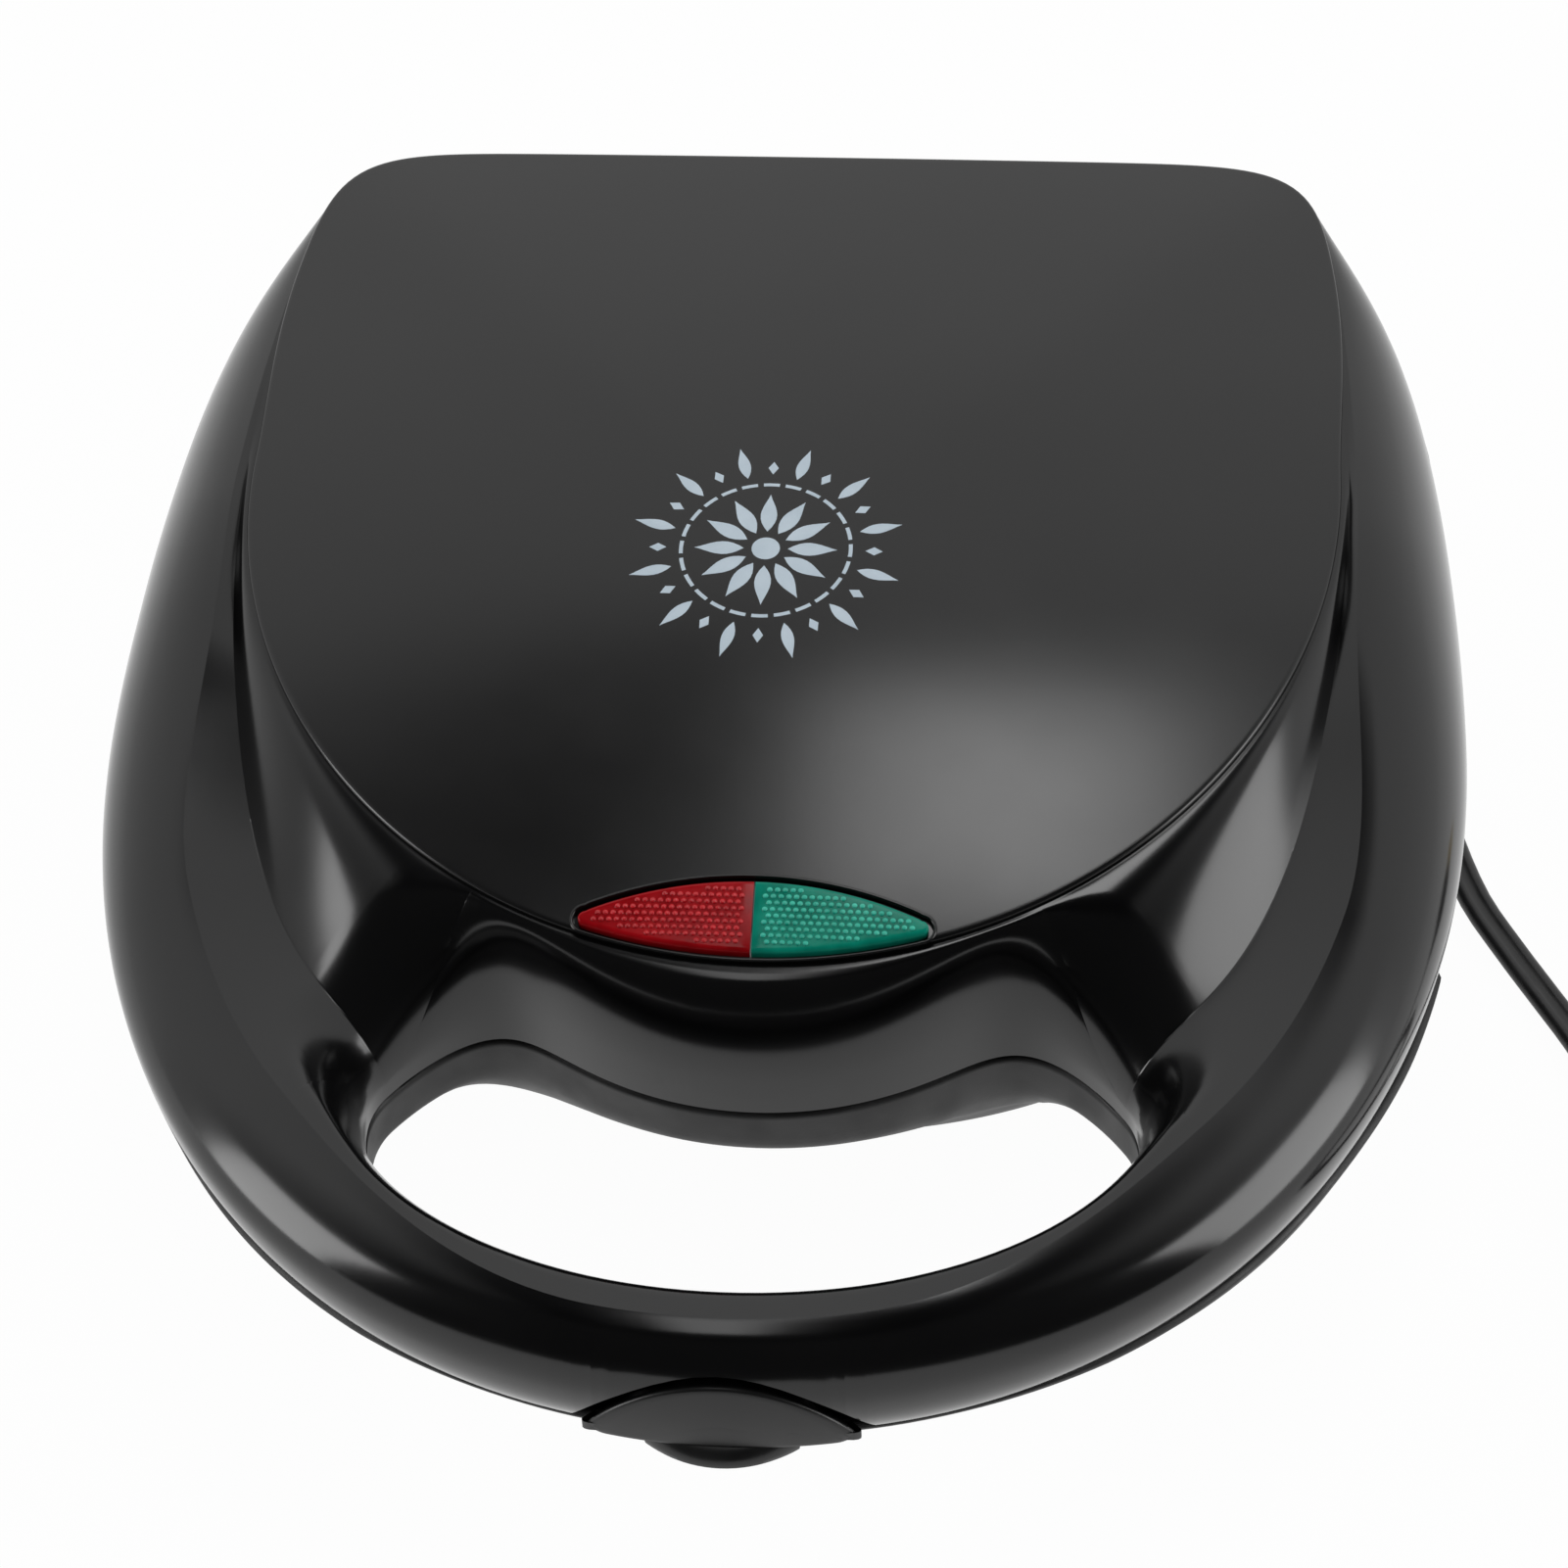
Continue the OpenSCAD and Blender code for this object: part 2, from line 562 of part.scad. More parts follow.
module lens_outline(grow) {
    rf = (pow(lens_w / 2, 2) + pow(lens_front, 2)) / (2 * lens_front);
    rr = (pow(lens_w / 2, 2) + pow(lens_rear, 2)) / (2 * lens_rear);
    intersection() {
        translate([0, lens_y - lens_front + rf])
            circle(rf + grow, $fn = 180);
        translate([0, lens_y + lens_rear - rr])
            circle(rr + grow, $fn = 180);
    }
}

module rounded(w, d, r) {
    x = w / 2 - r;
    y = d / 2 - r;
    square([w - 2 * r, d], center = true);
    square([w, d - 2 * r], center = true);
    for (sx = [-1, 1], sy = [-1, 1])
        translate([sx * x, sy * y])
            circle(r);
}

// Shells

module lid_shell() {
    color(gloss_black) difference() {
        union() {
            skin([for (a = angles) lid_section(a)], lid_edge_z,
                 panel_z(0, hub_y), panel_z(0, hub_y) - wall, false);
            at_both_sides() {
                translate([hinge_x, hinge_y, hinge_z])
                    bar_x(knuckle_d, knuckle_w);
                translate([hinge_x - knuckle_w / 2, rear_wall(hinge_x) - 1, lid_edge_z])
                    cube([knuckle_w, hinge_y - rear_wall(hinge_x) + 1, web_h]);
                for (y = shield_post_y)
                    translate([shield_post_x, y, 2 * part_z - shield_z])
                        cylinder(d = post_d, h = panel_z(shield_post_x, y) - wall / 2 - 2 * part_z + shield_z);
                translate([frame_front_post[0], frame_front_post[1], lid_edge_z + frame_t])
                    cylinder(d = frame_post_d,
                             h = trough_at(frame_front_post) - wall / 2 - lid_edge_z - frame_t);
                translate([frame_rear_post[0], frame_rear_post[1], lid_edge_z + frame_t])
                    cylinder(d = frame_post_d,
                             h = panel_z(frame_rear_post[0], frame_rear_post[1]) - wall / 2
                                 - lid_edge_z - frame_t);
                translate([latch_boss_w / 2 + side_gap, latch_pivot_y - latch_boss_d / 2, latch_pivot_z])
                    cube([latch_cheek_w, latch_boss_d / 2 + 0.5, crest_h - 6 - wall * 0.7]);
                translate([latch_boss_w / 2 + side_gap + latch_cheek_w / 2, latch_pivot_y, latch_pivot_z])
                    bar_x(latch_boss_d, latch_cheek_w);
            }
        }
        at_both_sides() {
            translate([hinge_x, hinge_y, hinge_z])
                bar_x(pin_d + 2 * run_fit, knuckle_w + 1);
            translate([latch_boss_w / 2 + side_gap + latch_cheek_w / 2, latch_pivot_y, latch_pivot_z])
                bar_x(latch_pin_d + 2 * screw_fit, latch_cheek_w + 1);
            for (y = shield_post_y)
                translate([shield_post_x, y, 2 * part_z - shield_z - eps])
                    cylinder(d = screw_d + screw_fit, h = screw_l);
            for (q = frame_posts)
                translate([q[0], q[1], lid_edge_z + frame_t - eps])
                    cylinder(d = screw_d + screw_fit, h = screw_l);
        }
        translate([0, 0, lens_seat_z])
            linear_extrude(30)
                lens_outline(lens_fit);
        arch(latch_w / 2 + latch_gap, latch_h + latch_gap, 1, front_y - 5, front_y + 8);
    }
}

module base_shell() {
    color(gloss_black) difference() {
        union() {
            skin([for (a = angles) base_section(a)], base_edge_z, foot_h, foot_h + wall, true);
            at_both_sides() {
                for (x = ear_x)
                    translate([x, hinge_y, hinge_z]) {
                        bar_x(knuckle_d, ear_w);
                        translate([-ear_w / 2, rear_wall(x) - 1.2 - hinge_y, base_edge_z - web_h - hinge_z])
                            cube([ear_w, hinge_y - rear_wall(x) + 1.2, web_h]);
                    }
                for (y = shield_post_y)
                    translate([shield_post_x, y, foot_h + wall / 2])
                        cylinder(d = post_d, h = shield_z - foot_h - wall / 2);
                translate([frame_front_post[0], frame_front_post[1], part_z - ring_h - 3])
                    cylinder(d = frame_post_d, h = frame_z - part_z + ring_h + 3);
                translate([frame_rear_post[0], frame_rear_post[1], foot_h + wall / 2])
                    cylinder(d = frame_post_d, h = frame_z - foot_h - wall / 2);
            }
            translate([-9, catch_y + side_gap, frame_z - 2.4])
                cube([18, hub_y - gap_r - gap_w - 1.5 - catch_y - side_gap, 2]);
        }
        at_both_sides() {
            for (x = ear_x)
                translate([x, hinge_y, hinge_z])
                    bar_x(pin_d + 0.04, ear_w + 0.2);
            for (y = shield_post_y)
                translate([shield_post_x, y, shield_z - screw_l])
                    cylinder(d = screw_d + screw_fit, h = screw_l + eps);
            for (q = frame_posts)
                translate([q[0], q[1], frame_z - screw_l])
                    cylinder(d = screw_d + screw_fit, h = screw_l + eps);
        }
        translate([relief_x, relief_y - 20, relief_z])
            rotate([-90, 0, 0])
                cylinder(d = relief_neck_d + 0.2, h = 40);
    }
}

// Flat frame that closes a shell around its plate.
module frame_sheet() {
    difference() {
        linear_extrude(frame_t)
            difference() {
                polygon(edge_outline(wall + frame_fit));
                polygon(gap_outline(wall + frame_fit));
                translate([0, plate_y])
                    rounded(plate_w + 2 * plate_gap, plate_d + 2 * plate_gap, plate_r + plate_gap);
                translate([-notch_w / 2, front_y])
                    square([notch_w, hub_y - gap_r - gap_w - front_y]);
            }
        at_both_sides()
            for (q = frame_posts)
                translate([q[0], q[1], -eps]) {
                    cylinder(d = screw_d + 0.4, h = frame_t + 1);
                    translate([0, 0, frame_t - sunk_h])
                        cylinder(d = head_d + 0.4, h = sunk_h + 1);
                }
    }
}
module base_frame() {
    color(frame_black)
        translate([0, 0, frame_z])
            frame_sheet();
}
module lid_frame() {
    color(frame_black)
        upside()
            translate([0, 0, frame_z])
                frame_sheet();
}

// Cooking plates with half-round cavities and stick grooves

module cavity() {
    straight = cavity_l - cavity_d;
    translate([0, straight / 2, 0])
        rotate([90, 0, 0])
            cylinder(d = cavity_d, h = straight);
    for (s = [-1, 1])
        translate([0, s * straight / 2, 0])
            sphere(d = cavity_d);
    translate([0, -straight / 2, 0])
        rotate([90, 0, 0])
            cylinder(d = stick_d, h = plate_d / 2 - 5 - straight / 2);
}
module plate() {
    difference() {
        union() {
            translate([0, plate_y, plate_face_z - plate_t])
                linear_extrude(plate_t)
                    rounded(plate_w, plate_d, plate_r);
            translate([0, plate_y, works_z])
                linear_extrude(plate_face_z - works_z - 1)
                    rounded(cavity_n * cavity_pitch, cavity_l + 8, 12);
            for (q = studs)
                translate([q[0], q[1], shield_z + shield_t])
                    cylinder(d = stud_d, h = works_z - shield_z - shield_t + 1);
        }
        for (i = [0:cavity_n - 1])
            translate([(i - (cavity_n - 1) / 2) * cavity_pitch, plate_y, plate_face_z])
                cavity();
        for (q = studs)
            translate([q[0], q[1], shield_z])
                cylinder(d = screw_d + screw_fit, h = works_z - shield_z);
    }
}
module lower_plate() {
    color(cast_grey)
        plate();
}
module upper_plate() {
    color(cast_grey)
        upside()
            plate();
}

// Heating elements, each held to the back of its plate by saddles

module heater() {
    for (s = [-1, 1]) {
        translate([s * heater_x, heater_rear_y, heater_z])
            rotate([90, 0, 0])
                cylinder(d = heater_d, h = heater_rear_y - heater_front_y - heater_r);
        translate([s * heater_x, heater_rear_y + 8, heater_z])
            rotate([90, 0, 0])
                cylinder(d = 3, h = 9);
        translate([s * (heater_x - heater_r), heater_front_y + heater_r, heater_z])
            rotate([0, 0, s > 0 ? -90 : 180])
                rotate_extrude(angle = 90)
                    translate([heater_r, 0])
                        circle(d = heater_d);
    }
    translate([0, heater_front_y, heater_z])
        bar_x(heater_d, 2 * (heater_x - heater_r));
}
module heater_saddles() {
    for (s = [-1, 1], y = saddle_y)
        difference() {
            translate([s * heater_x - 7, y - 4, heater_z - heater_d / 2 - 1.5])
                cube([14, 8, works_z - heater_z + heater_d / 2 + 1.5]);
            translate([s * heater_x, y, heater_z])
                rotate([90, 0, 0])
                    cylinder(d = heater_d + 0.1, h = 10, center = true);
        }
}
module lower_heater() {
    color(steel)
        heater();
}
module upper_heater() {
    color(steel)
        upside()
            heater();
}
module lower_heater_clamps() {
    color(steel)
        heater_saddles();
}
module upper_heater_clamps() {
    color(steel)
        upside()
            heater_saddles();
}

// Heat shields, screwed to posts of the shells, carry the plates

module shield() {
    difference() {
        union() {
            translate([0, shield_y, shield_z])
                linear_extrude(shield_t)
                    rounded(shield_w, shield_d, shield_r);
            at_both_sides()
                translate([shield_w / 2 - shield_t, shield_y - shield_d / 2 + shield_r, shield_z])
                    cube([shield_t, shield_d - 2 * shield_r, shield_wall_h]);
            translate([shield_r - shield_w / 2, shield_y - shield_d / 2, shield_z])
                cube([shield_w - 2 * shield_r, shield_t, shield_wall_h]);
        }
        at_both_sides()
            for (y = shield_post_y)
                translate([shield_post_x, y, shield_z - 1])
                    cylinder(d = screw_d + 0.4, h = shield_t + 2);
        for (q = studs)
            translate([q[0], q[1], shield_z - 1])
                cylinder(d = screw_d + 0.4, h = shield_t + 2);
    }
}
module lower_heat_shield() {
    color(steel)
        shield();
}
module upper_heat_shield() {
    color(steel)
        upside()
            shield();
}

// Screws: the head's seat is at the origin and the shank points down.

module screw(h, l) {
    difference() {
        cylinder(d = head_d, h = h);
        translate([-0.5, -2.2, h - 0.7])
            cube([1, 4.4, 1]);
        translate([-2.2, -0.5, h - 0.7])
            cube([4.4, 1, 1]);
    }
    translate([0, 0, -l])
        cylinder(d = screw_d, h = l + eps);
}
module shield_screws() {
    at_both_sides()
        for (y = shield_post_y)
            translate([shield_post_x, y, shield_z + shield_t])
                screw(head_h, screw_l - 0.5);
}
module plate_screws() {
    for (q = studs)
        translate([q[0], q[1], shield_z])
            mirror([0, 0, 1])
                screw(head_h, works_z - shield_z - 2);
}
module frame_screws() {
    at_both_sides()
        for (q = frame_posts)
            translate([q[0], q[1], frame_z + frame_t - sunk_h])
                screw(sunk_h - 0.1, screw_l);
}
module lower_shield_screws() {
    color(steel)
        shield_screws();
}
module upper_shield_screws() {
    color(steel)
        upside()
            shield_screws();
}
module lower_plate_screws() {
    color(steel)
        plate_screws();
}
module upper_plate_screws() {
    color(steel)
        upside()
            plate_screws();
}
module base_frame_screws() {
    color(steel)
        frame_screws();
}
module lid_frame_screws() {
    color(steel)
        upside()
            frame_screws();
}
module hinge_pins() {
    color(steel)
        at_both_sides()
            translate([hinge_x, hinge_y, hinge_z])
                bar_x(pin_d, 2 * (hinge_ear_x + ear_w));
}

// Indicator lamps under the pointed lens pair

module lens_half(side) {
    intersection() {
        translate([0, 0, lens_seat_z])
            linear_extrude(20)
                lens_outline(0);
        translate([side > 0 ? lens_split / 2 : -lens_w, lens_y - 20, lens_seat_z - 1])
            cube([lens_w - lens_split / 2, 40, 30]);
        translate([0, lens_y, panel_z(0, lens_y) + lens_proud])
            rotate([lamp_tilt, 0, 0])
                translate([-lens_w, -40, -40])
                    cube([2 * lens_w, 80, 40]);
    }
}
module red_lens() {
    color([0.67, 0.08, 0.1])
        lens_half(-1);
}
module green_lens() {
    color([0.08, 0.59, 0.45])
        lens_half(1);
}
module lamp_holder() {
    deck_z = lid_edge_z + frame_t;
    color(frame_black) difference() {
        union() {
            translate([-holder_w / 2, holder_y - holder_d / 2, lens_seat_z - holder_h])
                cube([holder_w, holder_d, holder_h]);
            for (s = [-1, 1])
                translate([s * (holder_w / 2 - 2) - 2, holder_y - holder_d / 2, deck_z])
                    cube([4, holder_d, lens_seat_z - holder_h - deck_z + 1]);
        }
        for (s = [-1, 1])
            translate([s * holder_w / 4, holder_y, lens_seat_z - holder_h - 1])
                cylinder(d = lamp_d + 0.1, h = holder_h + 2);
    }
}
module indicator_lamps() {
    color([0.9, 0.88, 0.82])
        for (s = [-1, 1])
            translate([s * holder_w / 4, holder_y, lens_seat_z - holder_h - 4]) {
                cylinder(d = lamp_d, h = holder_h + 1);
                translate([0, 0, holder_h + 1])
                    cylinder(d1 = lamp_d, d2 = lamp_d - 2, h = 2);
            }
}

// Latch in the front of the lid

module latch() {
    z0 = lid_edge_z + 0.1 - part_z;
    color(matte_black) difference() {
        union() {
            intersection() {
                translate([0, front_y + front_curve_r, part_z])
                    rotate([0, 0, -115])
                        rotate_extrude(angle = 50, $fn = 200)
                            polygon([
                                [front_curve_r + 1, z0], [front_curve_r + 0.8, latch_h * 0.3],
                                [front_curve_r + 0.2, latch_h * 0.6], [front_curve_r - 1.2, latch_h + 0.5],
                                [front_curve_r - 3.8, latch_h + 0.5], [front_curve_r - 1.6, z0],
                            ]);
                arch(latch_w / 2, latch_h, 1, front_y - 5, front_y + 12);
            }
            intersection() {
                translate([0, front_y - latch_out + tab_r, part_z - 2.2])
                    cylinder(r = tab_r, h = 4.2);
                translate([-tab_w / 2, front_y - 10, part_z - 2.2])
                    cube([tab_w, 10 - side_gap, 4.2]);
            }
            translate([0.5 - tab_w / 2, front_y - 1, part_z + z0 + 0.1])
                cube([tab_w - 1, 4, 2.8 - z0]);
            translate([-latch_boss_w / 2, front_y + 1.5, latch_pivot_z - 1.5])
                cube([latch_boss_w, latch_pivot_y - front_y - 1.5, 3]);
            translate([0, latch_pivot_y, latch_pivot_z])
                bar_x(latch_boss_d, latch_boss_w);
            translate([-latch_nose_w / 2, latch_arm_y, latch_nose_z])
                cube([latch_nose_w, latch_arm_t, latch_pivot_z - latch_nose_z]);
            translate([-latch_nose_w / 2, latch_arm_y, latch_nose_z])
                cube([latch_nose_w, catch_y - latch_arm_y, 2]);
        }
        translate([0, latch_pivot_y, latch_pivot_z])
            bar_x(latch_pin_d + 2 * run_fit, latch_boss_w + 1);
    }
}
module latch_pin() {
    color(steel)
        translate([0, latch_pivot_y, latch_pivot_z])
            bar_x(latch_pin_d, latch_boss_w + 2 * side_gap + 2 * latch_cheek_w);
}

// Electrical parts in the base

module thermostat() {
    color(steel)
        translate([0, plate_y + 14, works_z]) {
            translate([0, 0, -2])
                cylinder(d = 17, h = 2);
            translate([0, 0, -8])
                cylinder(d = 13, h = 6 + eps);
            for (s = [-1, 1])
                translate([s * 5 - 0.4, -3, -8.6])
                    cube([0.8, 6, 1]);
        }
}
module thermal_fuse() {
    color([0.85, 0.82, 0.75])
        translate([-30, plate_y + 26, shield_z + shield_t + 2])
            intersection() {
                bar_x(4.2, 16);
                translate([-20, -5, -2])
                    cube([40, 10, 8]);
            }
}
module terminal_block() {
    color([0.85, 0.84, 0.8])
        translate([relief_x, block_y, foot_h + wall])
            difference() {
                translate([-block_w / 2, -block_d / 2, 0])
                    cube([block_w, block_d, block_h]);
                for (s = [-1, 0, 1])
                    translate([s * block_pitch, 0, block_h * 0.4])
                        cylinder(d = block_hole_d, h = block_h);
            }
}
module rubber_feet() {
    color(rubber_black)
        at_both_sides()
            for (q = foot_at)
                translate([q[0], q[1], 0]) {
                    cylinder(d1 = foot_d - 2, d2 = foot_d, h = 1);
                    translate([0, 0, 1])
                        cylinder(d = foot_d, h = foot_h - 1);
                }
}

// Cord: strain relief, free length on the table, a tied coil and the plug

module strain_relief() {
    color(rubber_black)
        translate([relief_x, relief_y, relief_z])
            rotate([-90, 0, 0]) {
                translate([0, 0, -wall - 4])
                    cylinder(d = relief_neck_d, h = wall + 6);
                translate([0, 0, 1.4])
                    cylinder(d1 = relief_neck_d + 3, d2 = relief_neck_d, h = relief_l - 1.4);
            }
}

function unit(v) = v / norm(v);
function side_of(t) = unit(cross(t, [0, 0, 1]));
function ring_at(route, i, profile) =
    let (n = len(route), t = unit(route[min(i + 1, n - 1)] - route[max(i - 1, 0)]))
    let (s = side_of(t), u = cross(s, t))
    [for (q = profile) route[i] + s * q[0] + u * q[1]];
function ring_along(p, t, profile) =
    let (s = side_of(t), u = cross(s, t))
    [for (q = profile) p + s * q[0] + u * q[1]];
function least_gap(rings, apart) = min([
    for (i = [0:len(rings) - 1], j = [i + apart:1:len(rings) - 1], p = rings[i], q = rings[j]) norm(p - q)]);
function length_of(route, i = 0) =
    i == len(route) - 1 ? 0 : norm(route[i + 1] - route[i]) + length_of(route, i + 1);

module tube(rings) {
    m = len(rings[0]);
    n = len(rings);
    points = [for (r = rings) each r];
    faces = concat(
        [flip(range_from(0, m))],
        [for (i = [0:n - 2], j = [0:m - 1])
            let (k = (j + 1) % m)
            each [[i * m + j, i * m + k, (i + 1) * m + k], [i * m + j, (i + 1) * m + k, (i + 1) * m + j]]],
        [range_from((n - 1) * m, m)]);
    polyhedron(points, faces, convexity = 8);
}

module power_cord() {
    n = len(cord_route);
    rings = [for (i = [0:n - 1])
        i == 0 ? ring_along(cord_route[0], [0, 1, 0], cord_profile) :
        i == n - 1 ? ring_along(cord_route[n - 1], [0, -1, 0], cord_profile) :
        ring_at(cord_route, i, cord_profile)];
    color(rubber_black)
        tube(rings);
}
module cord_coil() {
    n = len(coil_route);
    rings = [for (i = [0:n - 1])
        i < 2 ? ring_along(coil_route[i], [0, -1, 0], coil_profile) :
        i > n - 3 ? ring_along(coil_route[i], [0, 1, 0], coil_profile) :
        ring_at(coil_route, i, coil_profile)];
    echo(coil_least_gap = least_gap(rings, turn_steps / 2));
    color(rubber_black)
        tube(rings);
}
module cord_tie() {
    color(matte_black)
        translate([coil_x, coil_y + tie_r, 0])
            difference() {
                translate([-3, -cord_w / 2 - 1.5, 0])
                    cube([6, cord_w + 3, coil_top_z + cord_t / 2 + 1.2]);
                translate([-4, -cord_w / 2 - 0.7, tie_t])
                    cube([8, cord_w + 1.4, coil_top_z + cord_t / 2 + 0.4 - tie_t]);
            }
}
module plug_body() {
    color(rubber_black)
        translate([coil_x + coil_r, plug_y, plug_z])
            rotate([-90, 0, 0])
                difference() {
                    union() {
                        cylinder(d1 = cord_w + 2.4, d2 = cord_w + 5.4, h = plug_grip_l);
                        translate([0, 0, plug_grip_l - eps])
                            linear_extrude(plug_l)
                                rounded(plug_w, 2 * plug_z, plug_r);
                    }
                    for (s = [-1, 1])
                        translate([(s * blade_pitch - blade_t) / 2, -blade_w / 2, blade_z])
                            cube([blade_t, blade_w, blade_in + 1]);
                }
}
module plug_blades() {
    color([0.8, 0.72, 0.45])
        translate([coil_x + coil_r, plug_y, plug_z])
            rotate([-90, 0, 0])
                for (s = [-1, 1])
                    translate([(s * blade_pitch - blade_t) / 2, -blade_w / 2, blade_z])
                        cube([blade_t, blade_w, blade_in + blade_out]);
}

lid_shell();
base_shell();
lid_frame();
base_frame();
upper_plate();
lower_plate();
upper_heater();
lower_heater();
upper_heater_clamps();
lower_heater_clamps();
upper_heat_shield();
lower_heat_shield();
upper_shield_screws();
lower_shield_screws();
upper_plate_screws();
lower_plate_screws();
lid_frame_screws();
base_frame_screws();
hinge_pins();
red_lens();
green_lens();
lamp_holder();
indicator_lamps();
latch();
latch_pin();
thermostat();
thermal_fuse();
terminal_block();
rubber_feet();
strain_relief();
power_cord();
cord_coil();
cord_tie();
plug_body();
plug_blades();
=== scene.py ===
# %% [markdown]
# # A corn dog maker in black plastic
# The machine is a clamshell: a glossy lid with a satin top panel, a grained base, six half-round cavities in each
# cooking plate, a hand gap that makes the front rim a handle, a latch, two lamps and a flat twin cord. The packed
# solids give every place and size. This lesson dresses them: each step names a piece, says how it could be made and
# why one way was chosen, and then makes it.

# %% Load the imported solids
import math
import bmesh
import bpy
import numpy as np
from mathutils import Matrix, Vector


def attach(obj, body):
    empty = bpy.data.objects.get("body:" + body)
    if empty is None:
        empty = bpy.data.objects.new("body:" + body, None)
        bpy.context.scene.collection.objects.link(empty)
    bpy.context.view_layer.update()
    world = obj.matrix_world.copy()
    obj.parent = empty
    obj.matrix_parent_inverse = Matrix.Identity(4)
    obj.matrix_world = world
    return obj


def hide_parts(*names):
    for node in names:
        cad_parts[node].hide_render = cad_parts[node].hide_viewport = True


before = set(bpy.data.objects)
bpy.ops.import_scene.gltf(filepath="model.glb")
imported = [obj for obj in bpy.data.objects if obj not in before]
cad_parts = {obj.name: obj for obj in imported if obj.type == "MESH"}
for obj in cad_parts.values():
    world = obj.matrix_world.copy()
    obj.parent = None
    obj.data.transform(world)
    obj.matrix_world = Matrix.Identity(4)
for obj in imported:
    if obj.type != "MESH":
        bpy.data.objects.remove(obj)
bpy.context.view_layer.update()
MM = 0.001
scene = bpy.context.scene
scene.view_settings.view_transform = "Standard"

# %% [markdown]
# ## The camera
# The photograph looks down on the machine from the front, a little from the right, with the camera slightly rolled.
# A track-to constraint can't roll, so the camera's three axes are worked out and put in its matrix. The focal length
# comes from the picture's width of 1601 pixels: pixels of focal length, times the sensor's width, over 1601.

# %% Camera
PHOTO_PX, FOCAL_PX = 1601, 4319
AZIMUTH, ELEVATION, ROLL = (math.radians(v) for v in (7.0, 48.0, -3.65))
CAMERA_AWAY = 0.7
CAMERA_TARGET = Vector((0.0002, 0.0025, 0.05))

camera_data = bpy.data.cameras.new("camera")
camera = bpy.data.objects.new("camera", camera_data)
scene.collection.objects.link(camera)
scene.camera = camera
level = math.cos(ELEVATION)
back = Vector((math.sin(AZIMUTH) * level, -math.cos(AZIMUTH) * level, math.sin(ELEVATION)))
right = Vector((math.cos(AZIMUTH), math.sin(AZIMUTH), 0))
up = back.cross(right)
rolled_right = math.cos(ROLL) * right + math.sin(ROLL) * up
rolled_up = math.cos(ROLL) * up - math.sin(ROLL) * right
camera.matrix_world = Matrix.Translation(CAMERA_TARGET + CAMERA_AWAY * back) @ Matrix(
    (rolled_right, rolled_up, back)).transposed().to_4x4()
camera_data.sensor_width = 36
camera_data.lens = camera_data.sensor_width * FOCAL_PX / PHOTO_PX
print("lens: %.1f mm" % camera_data.lens)

# %% [markdown]
# ## Helpers for meshes and finishes
# Every piece is a grid or a stack of rings of points in millimetres, turned into a mesh in metres that sits at the
# origin. A finish is a Principled shader whose colour drifts between two close shades, whose roughness drifts too,
# and whose grain is a fine bump. Noise on Object coordinates needs no unwrapping and stays put when the piece moves.

# %% Mesh helper
def piece_from(name, points, faces, *materials):
    """A mesh object from points in millimetres."""
    mesh = bpy.data.meshes.new(name)
    mesh.from_pydata((np.asarray(points, float) * MM).tolist(), [], [list(map(int, f)) for f in faces])
    mesh.validate()
    mesh.shade_smooth()
    for material in materials:
        mesh.materials.append(material)
    piece = bpy.data.objects.new(name, mesh)
    scene.collection.objects.link(piece)
    return piece


# %% Hand-over helpers
MERGE = 0.004 * MM


def weld(piece):
    """Joins points that lie together, drops loose ones and turns the faces of a closed mesh outward."""
    bm = bmesh.new()
    bm.from_mesh(piece.data)
    bmesh.ops.remove_doubles(bm, verts=bm.verts, dist=MERGE)
    bmesh.ops.dissolve_degenerate(bm, edges=bm.edges, dist=MERGE / 2)
    bmesh.ops.delete(bm, geom=[v for v in bm.verts if not v.link_faces], context="VERTS")
    if all(len(edge.link_faces) == 2 for edge in bm.edges):
        bmesh.ops.recalc_face_normals(bm, faces=bm.faces)
    bm.to_mesh(piece.data)
    bm.free()


def seat(piece, body, slot, *nodes):
    """Lets a piece ride on a body and stand for CAD nodes; the slot argument is not used."""
    weld(piece)
    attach(piece, body)
    if nodes:
        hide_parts(*nodes)
    print(piece.name, "has", len(piece.data.polygons), "faces, rides on", body, "and stands for", nodes)
    return piece


# %% Finish helpers
def dial(node, **values):
    """Sets the named inputs of a node."""
    for socket, value in values.items():
        node.inputs[socket.replace("_", " ")].default_value = value
    return node


def add(tree, kind, **values):
    """A new node with its named inputs set."""
    return dial(tree.nodes.new(kind), **values)


def wire(tree, *links):
    """Links nodes, each link as (node, output, node, input)."""
    for source, out, target, into in links:
        tree.links.new(source.outputs[out], target.inputs[into])


def ramp(tree, lo, hi, lo_colour, hi_colour):
    """A change from one colour to another between two positions."""
    node = add(tree, "ShaderNodeValToRGB")
    for stop, position, colour in zip(node.color_ramp.elements, (lo, hi), (lo_colour, hi_colour)):
        stop.position, stop.color = position, (*colour, 1)
    return node


CLOUD_LO, CLOUD_HI = 0.3, 0.7


